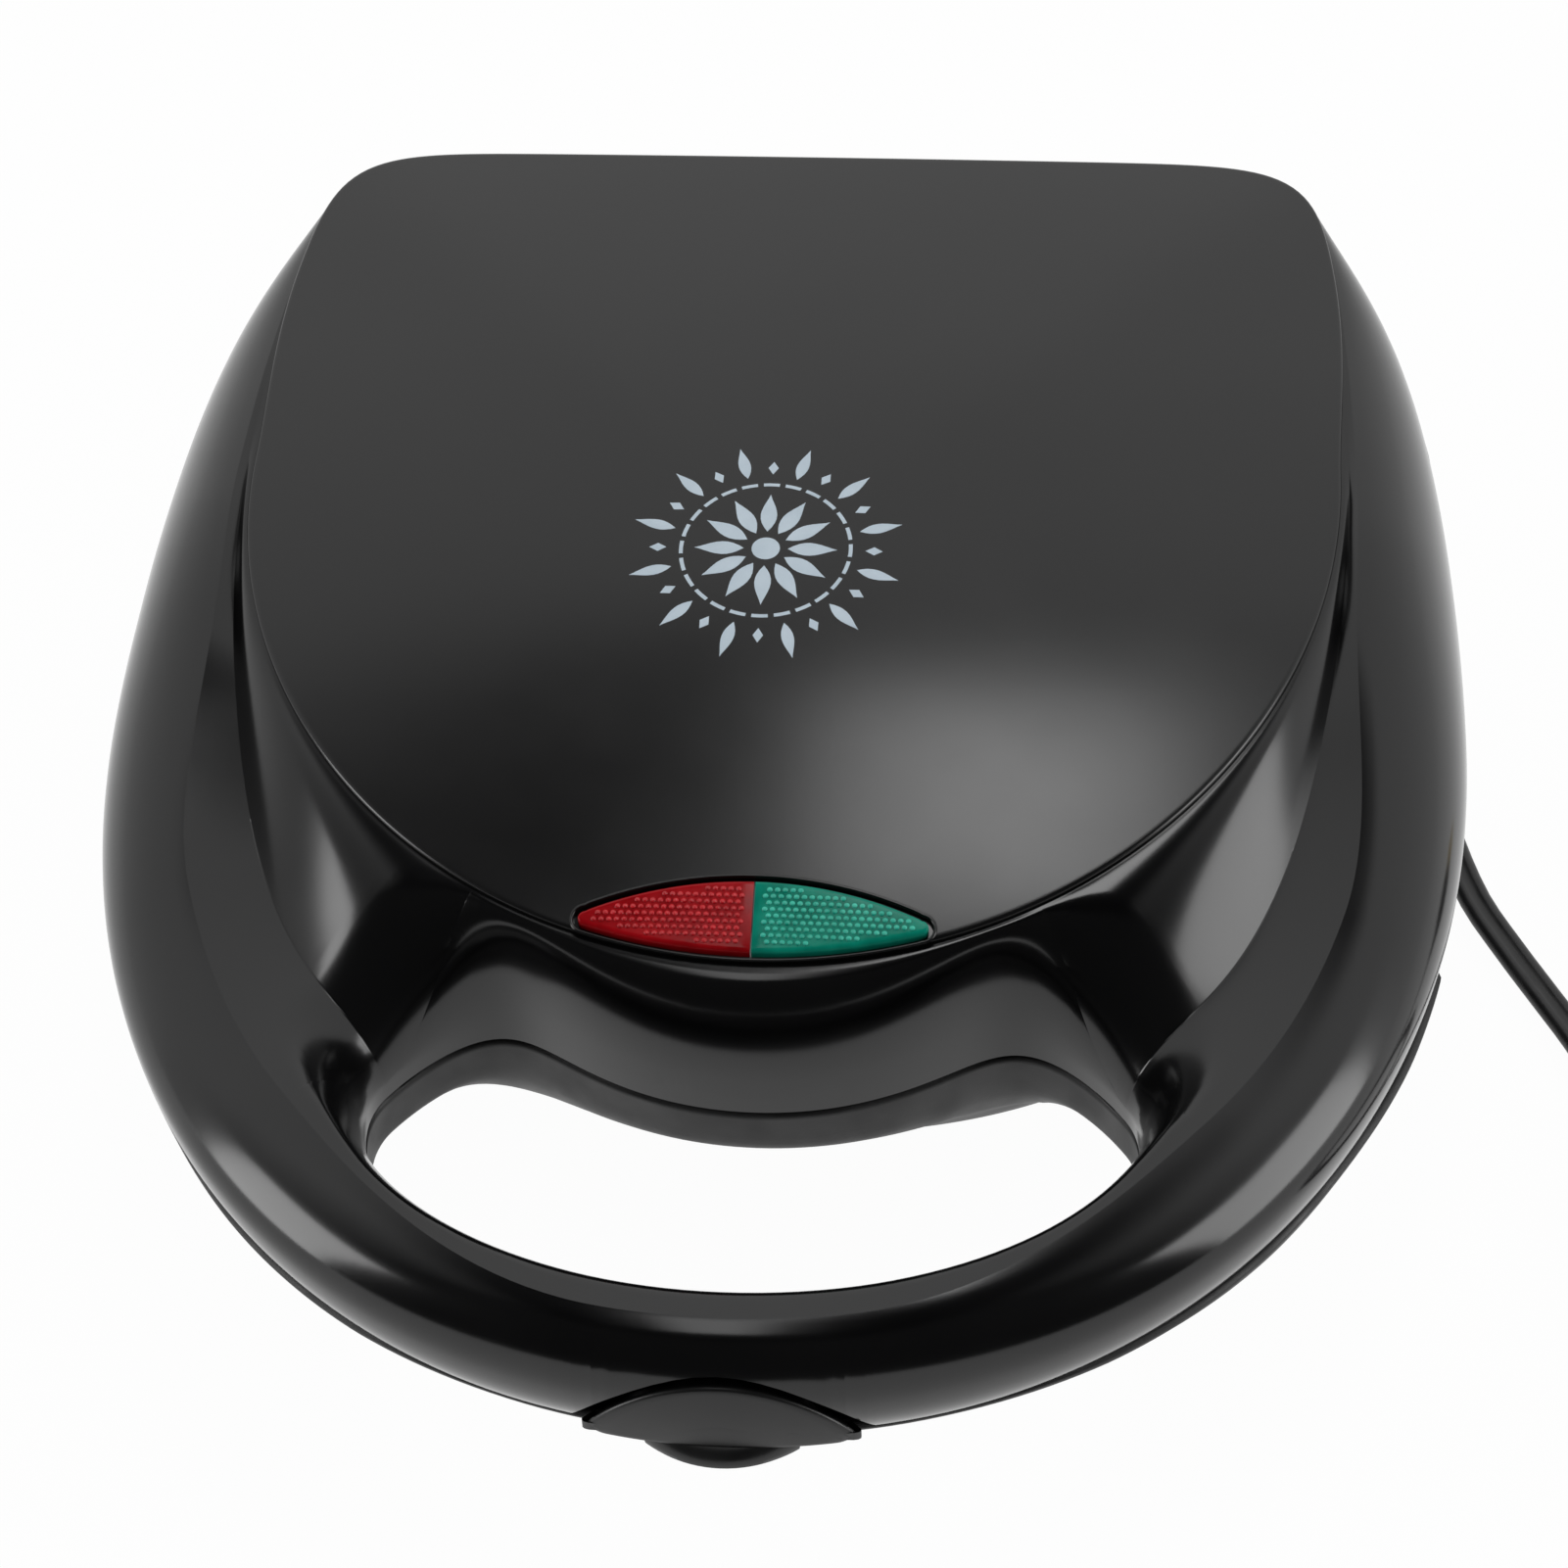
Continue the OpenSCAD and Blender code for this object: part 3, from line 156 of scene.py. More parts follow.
def finish(name, dark, light, rough, cloud_mm, grain_mm, grain_depth_mm, **sockets):
    """A moulded or coated finish: shades from dark to light in soft clouds, roughness from rough[0] to rough[1]."""
    material = bpy.data.materials.new(name)
    material.use_nodes = True
    tree = material.node_tree
    shader = dial(tree.nodes["Principled BSDF"], **sockets)
    place = add(tree, "ShaderNodeTexCoord")
    clouds = add(tree, "ShaderNodeTexNoise", Scale=1 / (cloud_mm * MM), Detail=4)
    shades = ramp(tree, CLOUD_LO, CLOUD_HI, dark, light)
    sheen = add(tree, "ShaderNodeMapRange", From_Min=CLOUD_LO, From_Max=CLOUD_HI, To_Min=rough[0], To_Max=rough[1])
    wire(tree, (place, "Object", clouds, "Vector"), (clouds, "Fac", shades, "Fac"), (clouds, "Fac", sheen, "Value"),
         (shades, "Color", shader, "Base Color"), (sheen, "Result", shader, "Roughness"))
    if grain_depth_mm:
        grain = add(tree, "ShaderNodeTexNoise", Scale=1 / (grain_mm * MM), Detail=2)
        relief = add(tree, "ShaderNodeBump", Distance=grain_depth_mm * MM)
        wire(tree, (place, "Object", grain, "Vector"), (grain, "Fac", relief, "Height"),
             (relief, "Normal", shader, "Normal"))
    return material


# %% [markdown]
# ## The cord
# The real cord is a flat twin flex: two round cores side by side with a groove between them. It leaves the strain
# relief, bends down to the table, passes the right side and ends in a tied coil with the plug beside it. A bevelled
# curve would twist at the bends, so a ring of the twin profile is set at each point of the route, with its flat side
# kept level. The route repeats the points of the solid cord, made rounder by a spline through them.

# %% Cord route
CORD_W, CORD_T = 5.6, 2.8
COIL_X, COIL_Y, COIL_R, COIL_IN = 179.5, -46.0, 36.0, 6.6
COIL_LOW, COIL_TOP, PLUG_X, PLUG_Z = 2.3, 5.6, COIL_X + COIL_R, 7.5
RELIEF = np.array((40.0, 111.8, 14.0))
RELIEF_L = 22.0


def ease(lo, hi, v):
    """0 below lo, 1 above hi, and a soft change between them."""
    t = np.clip((np.asarray(v, float) - lo) / (hi - lo), 0, 1)
    return t * t * (3 - 2 * t)


def coil_point(t):
    """A point of the coil after t turns: one turn winding in, half a turn climbing, one turn winding out."""
    r = COIL_R - COIL_IN * (t if t < 1 else 1 if t < 1.5 else 2.5 - t)
    z = COIL_LOW + (COIL_TOP - COIL_LOW) * ease(1, 1.5, t)
    return COIL_X - r * math.cos(2 * math.pi * t), COIL_Y - r * math.sin(2 * math.pi * t), z


def spline(points, cuts):
    """Points of a smooth curve through the given points, cuts to each stretch."""
    p = np.asarray(points, float)
    p = np.vstack([2 * p[0] - p[1], p, 2 * p[-1] - p[-2]])
    t = np.arange(cuts)[:, None] / cuts
    parts = [0.5 * (2 * b + (c - a) * t + (2 * a - 5 * b + 4 * c - d) * t**2 + (3 * b - a - 3 * c + d) * t**3)
             for a, b, c, d in zip(p, p[1:], p[2:], p[3:])]
    return np.vstack([*parts, p[-2:-1]])


LOW = CORD_T / 2
free_route = [
    (40, RELIEF[1] + RELIEF_L, 14), (40, 140, 13.6), (42, 149, 11.5), (47, 157, 8), (54.5, 162.5, 4.6),
    (64, 165, 2.4), (75, 165.5, LOW), (86, 164, LOW), (96, 159, LOW), (103.5, 151.5, LOW), (108.5, 142, LOW),
    (110.5, 131, LOW), (111, 118, LOW), (110.5, 104, LOW), (110, 90, LOW), (109.5, 76, LOW), (110, 62, LOW),
    (111.5, 48, LOW), (114, 36, LOW), (118, 23, LOW), (123.5, 12, LOW), (129, 2, LOW), (134.5, -8, LOW),
    (139, -18.5, 1.6), (142, -29, 1.9)]
coil_route = [coil_point(i / 24) for i in range(61)]
lead_route = [(PLUG_X, COIL_Y + y, z)
              for y, z in ((12, 5.3), (24, 4.2), (36, 4.4), (48, 6.3), (54, PLUG_Z), (60, PLUG_Z))]
cord_line = spline([*free_route, (COIL_X - COIL_R, -40, COIL_LOW), *coil_route, *lead_route], 3)

# %% Cord finish and mesh
cord_vinyl = finish("cord_vinyl", (0.006, 0.006, 0.0062), (0.013, 0.013, 0.0135), (0.34, 0.5), 6, 0.25, 0.006)
CORE_POINTS, GROOVE_AT = 18, 128


def twin_profile(w, t):
    """Outlines of two cores that meet in a groove, as (across, up) pairs."""
    r = t / 2
    angles = np.radians(np.linspace(-GROOVE_AT, GROOVE_AT, CORE_POINTS))
    core = np.stack([w / 2 - r + r * np.cos(angles), r * np.sin(angles)], 1)
    return np.vstack([core, -core])


def sweep(line, profile):
    """Points of a tube along a line, with the profile's first axis level."""
    ahead = np.gradient(line, axis=0)
    ahead /= np.linalg.norm(ahead, axis=1)[:, None]
    side = np.cross(ahead, (0, 0, 1))
    side /= np.linalg.norm(side, axis=1)[:, None]
    over = np.cross(side, ahead)
    return line[:, None] + side[:, None] * profile[None, :, :1] + over[:, None] * profile[None, :, 1:]


def ring_faces(rings, sides, loop=False, caps=True):
    """Quads between rings of points; loop joins the last ring to the first, caps close the two ends."""
    quads = [[k * sides + i, k * sides + (i + 1) % sides,
              (k + 1) % rings * sides + (i + 1) % sides, (k + 1) % rings * sides + i]
             for k in range(rings if loop else rings - 1) for i in range(sides)]
    ends = [list(range(sides))[::-1], list(range((rings - 1) * sides, rings * sides))]
    return quads + ends if caps else quads


profile = twin_profile(CORD_W, CORD_T)
cord_points = sweep(cord_line, profile).reshape(-1, 3)
cord = piece_from("power_cord_flex", cord_points, ring_faces(len(cord_line), len(profile)), cord_vinyl)
seat(cord, "base", "rubber", "power_cord", "cord_coil")

# %% [markdown]
# ## The shape rules of the shells
# Lid and base share a hub in plan. Seen from it, every outline is a superellipse: a front half and a rear half with
# their own reach and roundness. A section at each angle runs from the parting line over the widest line and the
# crest to the hand gap, and from there up the skirt to the panel. The solids use the same rules with few sections.
# Here there are hundreds, with smooth curves between the same points, because gloss shows every flat.

# %% Plan outlines
HUB_Y, PART_Z, PART_GAP = 20.5, 44.0, 0.6
LID_EDGE_Z, BASE_EDGE_Z = PART_Z + PART_GAP / 2, PART_Z - PART_GAP / 2
# Each outline: half width, reach to the front and the rear, roundness of both, taper of the rear, middle.
BULGE_LINE = (112, 133, 115, 2.12, 6, 0.165, 10.5)
PART_LINE = (110, 131, 102.5, 2.12, 6, 0.165, 10.5)
PANEL_LINE = (90.5, 95, 78, 2.05, 11, 0.06, 42.5)
FLOOR_LINE = (86, 75, 66, 2.2, 6, 0.02, 39.5)
HALVINGS = 40


def mix(a, b, t):
    return a + (b - a) * t


def reach(outline, degrees):
    """Distance from the hub to an outline at each angle, where 0 is the front."""
    half_w, front, rear, n_front, n_rear, taper, middle = outline
    a = np.radians(degrees)
    lo, hi = np.zeros_like(a), np.full_like(a, 300.0)
    for _ in range(HALVINGS):
        m = (lo + hi) / 2
        x, d = np.abs(m * np.sin(a)), HUB_Y - m * np.cos(a) - middle
        e = np.abs(d) / np.where(d < 0, front, rear)
        w = np.where(d < 0, half_w, np.maximum(1, half_w * (1 - taper * e * e)))
        n = np.where(d < 0, n_front, n_rear)
        inside = (x / w) ** n + e**n < 1
        lo, hi = np.where(inside, m, lo), np.where(inside, hi, m)
    return (lo + hi) / 2


def plan(degrees, r):
    """Plan points at distances r from the hub."""
    a = np.radians(degrees)
    return np.stack([r * np.sin(a), HUB_Y - r * np.cos(a)], -1)


print("front of the lid: y = %.1f mm" % (HUB_Y - reach(BULGE_LINE, np.zeros(1))[0]))


# %% Hand gap
GAP_HALF, GAP_R, GAP_W, GAP_BACK, GAP_END_IN, GAP_END_THIN = 35.5, 102.0, 21.5, 20.0, 2, 6


def gap_side(p, width, power):
    """Distance from the hub to one side of the hand gap, p degrees from the front."""
    u = np.minimum(1, p / GAP_HALF)
    return GAP_R - GAP_END_IN * u**2 + (width - GAP_END_THIN * u**2) * np.sqrt(np.maximum(0, 1 - u**power))


def gap_front(p):
    return gap_side(p, GAP_W, 6)


def gap_rear(p):
    return gap_side(p, -GAP_BACK, 8)


open_half = GAP_HALF * np.sin(np.linspace(0, np.pi / 2, 45))
inward_half = open_half[::-1]
gap_edge = np.vstack([plan(-inward_half, gap_front(inward_half)), plan(open_half, gap_front(open_half)),
                      plan(inward_half, gap_rear(inward_half)), plan(-open_half, gap_rear(open_half))])
print("hand gap: %.0f mm wide" % np.ptp(gap_edge[:, 0]))

# %% Stations
# The angles of the sections stand closest where the shape turns fastest: at the gap's ends and beside the latch.
LATCH_HALF, LATCH_RISE, FRONT_R = 23.0, 15.0, 142.5
ARCH_R = (LATCH_HALF**2 + LATCH_RISE**2) / (2 * LATCH_RISE)
arch_end = math.degrees(math.asin((LATCH_HALF - 0.05) / FRONT_R))
near_end = GAP_HALF + np.array((0.03, 0.08, 0.15, 0.25, 0.38, 0.55, 0.75, 1, 1.3, 1.65, 2.05, 2.5, 3.1, 3.8, 4.6,
                                5.5))
near_arch = arch_end + np.array((-2.4, -1.8, -1.3, -0.9, -0.6, -0.35, -0.18, -0.06, 0, 0.3, 0.8))
rest_half = np.concatenate([np.arange(42, 116, 1.1), np.arange(116, 150, 0.7), np.linspace(150, 180, 26)])
half = np.unique(np.concatenate([open_half, near_arch, near_end, rest_half]).round(5))
stations = np.concatenate([-half[:0:-1], half[:-1]])[:, None]
away = np.abs(stations)
ahead_part = np.cos(np.radians(stations))
is_open = away < GAP_HALF - 1e-6
print("stations:", len(stations), "of which at the gap:", int(is_open.sum()))


# %% Curves
AT_ONCE = 2000


def from_gap(points):
    """Distance of plan points from the edge of the hand gap."""
    a, b = gap_edge, np.roll(gap_edge, -1, axis=0)
    d = b - a
    size = np.maximum((d * d).sum(1), 1e-12)
    flat = points.reshape(-1, 2)
    least = np.full(len(flat), 1e9)
    for k in range(0, len(flat), AT_ONCE):
        part = flat[k:k + AT_ONCE, None]
        t = np.clip(((part - a) * d).sum(2) / size, 0, 1)
        least[k:k + AT_ONCE] = np.linalg.norm(part - a - t[..., None] * d, axis=2).min(1)
    return least.reshape(points.shape[:-1])


def roll_over(distance, radius, power=2.0):
    """Share of its fall that a rounded edge has done at a distance from the wall below it."""
    s = np.clip(1 - distance / radius, 0, 1)
    return 1 - (1 - s**power) ** (1 / power)


def rise(t, first, last):
    """A curve from 0 to 1 with those slopes at its ends."""
    return first * (t - 2 * t**2 + t**3) + 3 * t**2 - 2 * t**3 + last * (t**3 - t**2)


def shorter(a, b):
    """The smaller of two lengths, with a soft change from one to the other."""
    return (a + b - np.sqrt((a - b) ** 2 + (0.15 * b) ** 2)) / 2


# %% Panel heights
PANEL_FLAT_Y, PANEL_TIP_Y, PANEL_TOP, PANEL_DROP, PANEL_CROWN = 69.5, -52.5, 84.0, 13.0, 4.5


def panel_rise(y):
    """Height of the panel's edge: level at the rear, falling to the front."""
    t = np.maximum(0, (PANEL_FLAT_Y - y) / (PANEL_FLAT_Y - PANEL_TIP_Y))
    return PANEL_TOP - PANEL_DROP * t**2


def panel_z(x, y):
    """Height of the panel's crowned top."""
    degrees = np.degrees(np.arctan2(x, HUB_Y - y))
    f = np.hypot(x, y - HUB_Y) / reach(PANEL_LINE, degrees)
    return panel_rise(y) + PANEL_CROWN * (1 - f * f)


# %% [markdown]
# ## The lid
# The lid is one gloss moulding. A polar grid of sections gives it every curve, and the rounded edge of the hand gap
# comes from the distance to that edge, so it also rounds the gap's two ends. Above the latch the sections start on
# an arch instead of the parting line. Solidify gives the skin its wall, and Bevel breaks its sharp edges.

# %% Lid lines
# Every value here is a column with one row for each station, so it multiplies with the steps of a section.
CREST_H, CREST_IN, CREST_IN_BESIDE, RIM_SIDE, RIM_REAR = 20, 8.5, 15, 2.4, 1.4
BULGE_H, BULGE_H_REAR, TROUGH_DEPTH, SKIRT_STEP, SEAT_DROP = 9, 28, 3.5, 0.5, 0.9
lid_r0, lid_rq, lid_rp = (reach(line, stations) for line in (BULGE_LINE, PART_LINE, PANEL_LINE))
panel_edge = panel_rise(HUB_Y - lid_rp * ahead_part)
side, rear, over_rear = ease(40, 100, away), ease(120, 155, away), ease(105, 128, away)
crest_in = mix(CREST_IN, CREST_IN_BESIDE, ease(8, 36, away))
crest_r = lid_r0 - mix(crest_in, lid_r0 - lid_rp - RIM_SIDE, ease(58, 112, away))
crest_z = mix(PART_Z + CREST_H, panel_edge - 0.4 - 0.75 * over_rear, side)
bulge_z = PART_Z + mix(BULGE_H, BULGE_H_REAR, ease(90, 150, away))
trough_z = crest_z - TROUGH_DEPTH * (1 - 0.6 * ease(45, 80, away)) * (1 - ease(88, 122, away))
rim_side = lid_rp + mix(RIM_SIDE, RIM_REAR, ease(80, 100, away))
valley_r = mix(GAP_R - GAP_END_IN, rim_side, ease(GAP_HALF, 100, away))
inner_r = np.where(is_open, gap_front(away), valley_r)
skirt_r = np.where(is_open, gap_rear(away), valley_r)
end_part = np.minimum(1, away / GAP_HALF) ** 4
past_gap, beside_gap = ease(GAP_HALF - 2, 78, away), ease(26, GAP_HALF, away)
skirt_top = lid_rp + SKIRT_STEP
lid_width = crest_r - lid_rp - SKIRT_STEP
skirt_l = mix(shorter(14, 0.54 * lid_width), valley_r - lid_rp - SKIRT_STEP, beside_gap)
slope_l = mix(shorter(16, 0.5 * lid_width), crest_r - valley_r, beside_gap)
print("lid lines: crest %.1f to %.1f mm high" % (crest_z.min(), crest_z.max()))

# %% Lid sections
FOLD = np.radians(78)
WIDEST = 0.4


def lid_outer(s):
    """Radius and height on the outer curve: s is 0 at the parting line, WIDEST at the bulge and 1 at the crest."""
    t, f = np.clip(s / WIDEST, 0, 1), FOLD * np.clip((s - WIDEST) / (1 - WIDEST), 0, 1)
    tucked = lid_r0 - (lid_r0 - lid_rq) * (1 - t) ** 2.3
    z = mix(LID_EDGE_Z, bulge_z, t)
    flare = ease(LID_EDGE_Z + 8.7, 72, z)
    leaning = lid_rq + 0.3 + (lid_r0 - lid_rq - 0.3) * flare
    inward = (np.cos(f) - np.cos(FOLD)) / (1 - np.cos(FOLD))
    r = np.where(s <= WIDEST, mix(tucked, leaning, rear), crest_r + (lid_r0 - crest_r) * inward)
    return r, np.where(s <= WIDEST, z, bulge_z + (crest_z - bulge_z) * np.sin(f) / np.sin(FOLD))


across = FRONT_R * np.sin(np.radians(stations))
arch_z = PART_Z + LATCH_RISE - ARCH_R + np.sqrt(np.maximum(0, ARCH_R**2 - across**2))
start_z = np.where((away < arch_end) & (arch_z > LID_EDGE_Z), arch_z, LID_EDGE_Z)
low_start = WIDEST * (start_z - LID_EDGE_Z) / (bulge_z - LID_EDGE_Z)
up_fold = np.arcsin(np.sin(FOLD) * np.clip((start_z - bulge_z) / (crest_z - bulge_z), 0, 1))
start = np.where(start_z < bulge_z, low_start, WIDEST + (1 - WIDEST) * up_fold / FOLD)
steps = np.concatenate([np.linspace(0, WIDEST, 9)[:-1], np.linspace(WIDEST, 1, 17)])
outer_r, outer_z = lid_outer(start + (1 - start) * steps)
print("outer skin of the lid:", outer_r.shape, "points")

# %% From the skins to the gap
NEAR_GAP = np.array((0, 0.008, 0.02, 0.04, 0.065, 0.095, 0.13, 0.17, 0.215, 0.265, 0.32, 0.38, 0.445, 0.515, 0.59,
                     0.67, 0.75, 0.82, 0.88, 0.93, 0.97, 1))
WALL_ROWS = np.linspace(1, 0, 6)
SEAT = np.array((1.0, 0.93, 0.8, 0.6, 0.4, 0.2, 0.0))


def section_points(r, z):
    """Points in space from the radius and height of each step of each section."""
    return np.concatenate([plan(stations, r), z[..., None]], -1)


def to_gap(start_r, stop_r, field, edge_mm, power, edge_z, keep_mm):
    """Sections over a height field that roll into the gap, and the points of the upright wall that is left."""
    r = stop_r + (start_r - stop_r) * NEAR_GAP[::-1]
    rolled = roll_over(from_gap(plan(stations, r)), edge_mm, power)
    z = mix(field(r), edge_z + keep_mm, rolled)
    wall_z = edge_z + (z[:, -1:] - edge_z) * WALL_ROWS
    return r, z, section_points(np.repeat(stop_r, len(WALL_ROWS), 1), wall_z)


def lid_field(r):
    """Height of the trough between the panel's edge and the crest."""
    t_in, t_out = np.clip((r - skirt_top) / skirt_l, 0, 1), np.clip((crest_r - r) / slope_l, 0, 1)
    skirt_h = (panel_edge - SEAT_DROP - trough_z) * (1 - rise(t_in, 0.12, 1.2))
    return trough_z + skirt_h + (crest_z - trough_z) * (1 - t_out)


# %% Gloss finish and shell helpers
gloss_shell = finish("gloss_shell", (0.0022, 0.0022, 0.0024), (0.0036, 0.0036, 0.0038), (0.13, 0.18), 40, 2.2, 0.0022,
                     Specular_IOR_Level=0.5)
SHELL_WALL = 2.2


def grid_faces(rows, columns, start=0, closed=False, turned=False):
    """Quads of a grid whose point (i, j) is start + i * columns + j; closed joins the last row to the first."""
    i, j = np.meshgrid(np.arange(rows if closed else rows - 1), np.arange(columns - 1), indexing="ij")
    k = (i + 1) % rows
    quads = np.stack([i * columns + j, i * columns + j + 1, k * columns + j + 1, k * columns + j], -1).reshape(-1, 4)
    return (quads[:, ::-1] if turned else quads) + start


def shell_mesh(name, part_a, part_b, wall_front, wall_rear, material, turned, fold_column):
    """Joins the two skins and the gap's wall into one skin with a sharp fold, and gives it a thickness."""
    n, width = len(stations), part_a.shape[1]
    points, faces = [], []
    for grid, facing, only_open in ((part_a, turned, False), (part_b, not turned, False),
                                    (wall_front, turned, True), (wall_rear, not turned, True)):
        base = sum(len(p) for p in points)
        quads = grid_faces(n, grid.shape[1], base, closed=True, turned=facing)
        if only_open:
            quads = quads[is_open[(quads - base) // grid.shape[1], 0].any(axis=1)]
        points.append(grid.reshape(-1, 3))
        faces.extend(quads)
    shell = piece_from(name, np.vstack(points), faces, material)
    for edge in shell.data.edges:
        a, b = edge.vertices
        if max(a, b) < n * width and a % width == b % width == fold_column:
            edge.use_edge_sharp = True
    thick = shell.modifiers.new("wall", "SOLIDIFY")
    thick.thickness, thick.offset = SHELL_WALL * MM, -1
    return shell


def soften(piece, width_mm, degrees=40):
    """Rounds the sharp edges of a piece a little."""
    soft = piece.modifiers.new("soft edges", "BEVEL")
    soft.width, soft.segments = width_mm * MM, 2
    soft.limit_method, soft.angle_limit = "ANGLE", math.radians(degrees)
    soft.harden_normals = True
    return piece


# %% Lid mesh
LID_WALL_H, ROUND = 3.2, 1.5
skirt_edge = shorter(mix(8.4, 14.5, end_part), from_gap(plan(stations, skirt_top)))
ring_edge, skirt_power = mix(6, skirt_edge, end_part), mix(2.8, ROUND, end_part)
ring_r, ring_z, ring_wall = to_gap(crest_r, inner_r, lid_field, ring_edge, ROUND, LID_EDGE_Z, LID_WALL_H)
fall_r, fall_z, fall_wall = to_gap(skirt_top, skirt_r, lid_field, skirt_edge, skirt_power, LID_EDGE_Z, LID_WALL_H)
seat_r = lid_rp * SEAT[::-1]
seat_z = panel_rise(HUB_Y - seat_r * ahead_part) + PANEL_CROWN * (1 - SEAT[::-1]**2) - SEAT_DROP
lid_a = section_points(np.hstack([outer_r, ring_r[:, 1:]]), np.hstack([outer_z, ring_z[:, 1:]]))
lid_b = section_points(np.hstack([seat_r, fall_r]), np.hstack([seat_z, fall_z]))
lid = shell_mesh("lid_moulding", lid_a, lid_b, ring_wall, fall_wall, gloss_shell, True, outer_r.shape[1] - 1)
soften(lid, 0.3, 60)
seat(lid, "lid", "gloss_shell", "lid_shell")

# %% [markdown]
# ## The satin panel
# The top of the lid is a satin field with a small step around it. It is a thin closed cap on the lid's seat, so that
# its rounded edge and the gloss rim beside it each catch their own line of light.

# %% Panel
satin_panel = finish("satin_panel", (0.0028, 0.0028, 0.0029), (0.0042, 0.0042, 0.0043), (0.2, 0.24), 30, 0.7, 0.003)
EDGE_IN = np.array((0, 0, 0.03, 0.1, 0.21, 0.36, 0.55, 1.0, 2.0))
EDGE_DOWN = np.array((0.85, 0.55, 0.36, 0.21, 0.1, 0.03, 0, 0, 0))
PANEL_ROWS = np.array((0.95, 0.9, 0.84, 0.77, 0.7, 0.62, 0.54, 0.46, 0.38, 0.3, 0.22, 0.15, 0.08, 0))
PANEL_THICK, PANEL_OVER_REAR = 0.85, 2.2
panel_r = np.hstack([lid_rp + PANEL_OVER_REAR * over_rear - EDGE_IN, lid_rp * PANEL_ROWS])
panel_up = panel_rise(HUB_Y - panel_r * ahead_part) + PANEL_CROWN * (1 - (panel_r / lid_rp) ** 2)
panel_up[:, :len(EDGE_DOWN)] -= EDGE_DOWN
panel_grid = section_points(panel_r, panel_up)
under = panel_grid[:, [0, 14, -1]].copy()
under[:, 1:, 2] -= PANEL_THICK
n = len(stations)
panel = piece_from("lid_panel", np.vstack([panel_grid.reshape(-1, 3), under.reshape(-1, 3)]),
                   [*grid_faces(n, panel_grid.shape[1], closed=True),
                    *grid_faces(n, 3, n * panel_grid.shape[1], closed=True, turned=True)], satin_panel)
weld(panel)
print("panel: %.1f to %.1f mm high" % (panel_up.min(), panel_up.max()))

# %% [markdown]
# ## The base
# The base mirrors the lid below the parting line, with a shallower rim, a body that draws in to four feet, and a
# proud grained strip round the front. The same section method makes it, turned upside down.

# %% Base lines
FOOT_H, STRAIGHT_H, RIM_DEPTH, BODY_DEPTH, BASE_RIM_IN, BASE_WALL_H = 5.0, 6, 12, 37.8, 9, -7.5
strip = ease(12, 40, away) * (1 - ease(65, 66.6, away))
base_rq = lid_rq + mix(1.0, 2.0, ease(44, 58, away)) * strip
base_rs = base_rq - 0.8
base_rf = reach(FLOOR_LINE, stations)
base_crest_r = base_rq - mix(BASE_RIM_IN, base_rq - base_rf - 4, side)
base_crest_z = PART_Z - mix(RIM_DEPTH, BODY_DEPTH, side)
base_trough_z = base_crest_z + 1.5 * (1 - ease(GAP_HALF, 75, away))
base_valley = mix(GAP_R - GAP_END_IN, base_rf + 2, ease(GAP_HALF, 100, away))
base_inner_r = np.where(is_open, gap_front(away), base_valley)
base_skirt_r = np.where(is_open, gap_rear(away), base_valley)


def base_field(r):
    """Height of the underside between the floor and the rim's lowest line."""
    t_in = np.clip((r - base_rf) / mix(26, base_valley - base_rf, past_gap), 0, 1)
    t_out = np.clip((base_crest_r - r) / np.maximum(0.5, base_crest_r - base_valley), 0, 1)
    body = FOOT_H + (base_trough_z - FOOT_H) * rise(t_in, 1.8, 0.3)
    return np.where(r <= base_valley, body, mix(base_crest_z, base_trough_z, rise(t_out, 0.4, 0)))


# %% Base mesh
grained_black = finish("grained_black", (0.006, 0.006, 0.0062), (0.0115, 0.0115, 0.012), (0.42, 0.58), 9, 0.32, 0.02)
turn_f, straight, straight_z = np.radians(np.linspace(0, 90, 15)), np.linspace(0, 1, 6)[:-1], PART_Z - STRAIGHT_H
base_out_r = np.hstack([mix(base_rq, base_rs, straight), base_crest_r + (base_rs - base_crest_r) * np.cos(turn_f)])
base_out_z = np.hstack([mix(BASE_EDGE_Z, straight_z, straight) + 0 * base_rq,
                        straight_z + (base_crest_z - straight_z) * np.sin(turn_f)])
upright = mix(0.6, 1.9, ease(12, 40, away))
tucked_r = base_rq - 0.2 - 0.75 * np.maximum(0, BASE_EDGE_Z - base_out_z - upright)
base_out_r -= (1 - ease(60, 80, away)) * np.maximum(0, base_out_r - tucked_r)
base_edge = mix(2.5, 3.5, end_part)
rim_r, rim_z, rim_wall = to_gap(base_crest_r, base_inner_r, base_field, base_edge, 2, BASE_EDGE_Z, BASE_WALL_H)
body_r, body_z, body_wall = to_gap(base_rf, base_skirt_r, base_field, base_edge, 2, BASE_EDGE_Z, BASE_WALL_H)
floor_r = base_rf * SEAT[::-1]
base_a = section_points(np.hstack([base_out_r, rim_r[:, 1:]]), np.hstack([base_out_z, rim_z[:, 1:]]))
base_b = section_points(np.hstack([floor_r, body_r[:, 1:]]), np.hstack([0 * floor_r + FOOT_H, body_z[:, 1:]]))
base = shell_mesh("base_moulding", base_a, base_b, rim_wall, body_wall, grained_black, False, -1)
seat(base, "base", "gloss_shell", "base_shell")

# %% [markdown]
# ## The two lamp lenses
# Red and green halves share one pointed oval window. Each is a clear coloured slab with a rounded rim that stands a
# little proud of the panel.

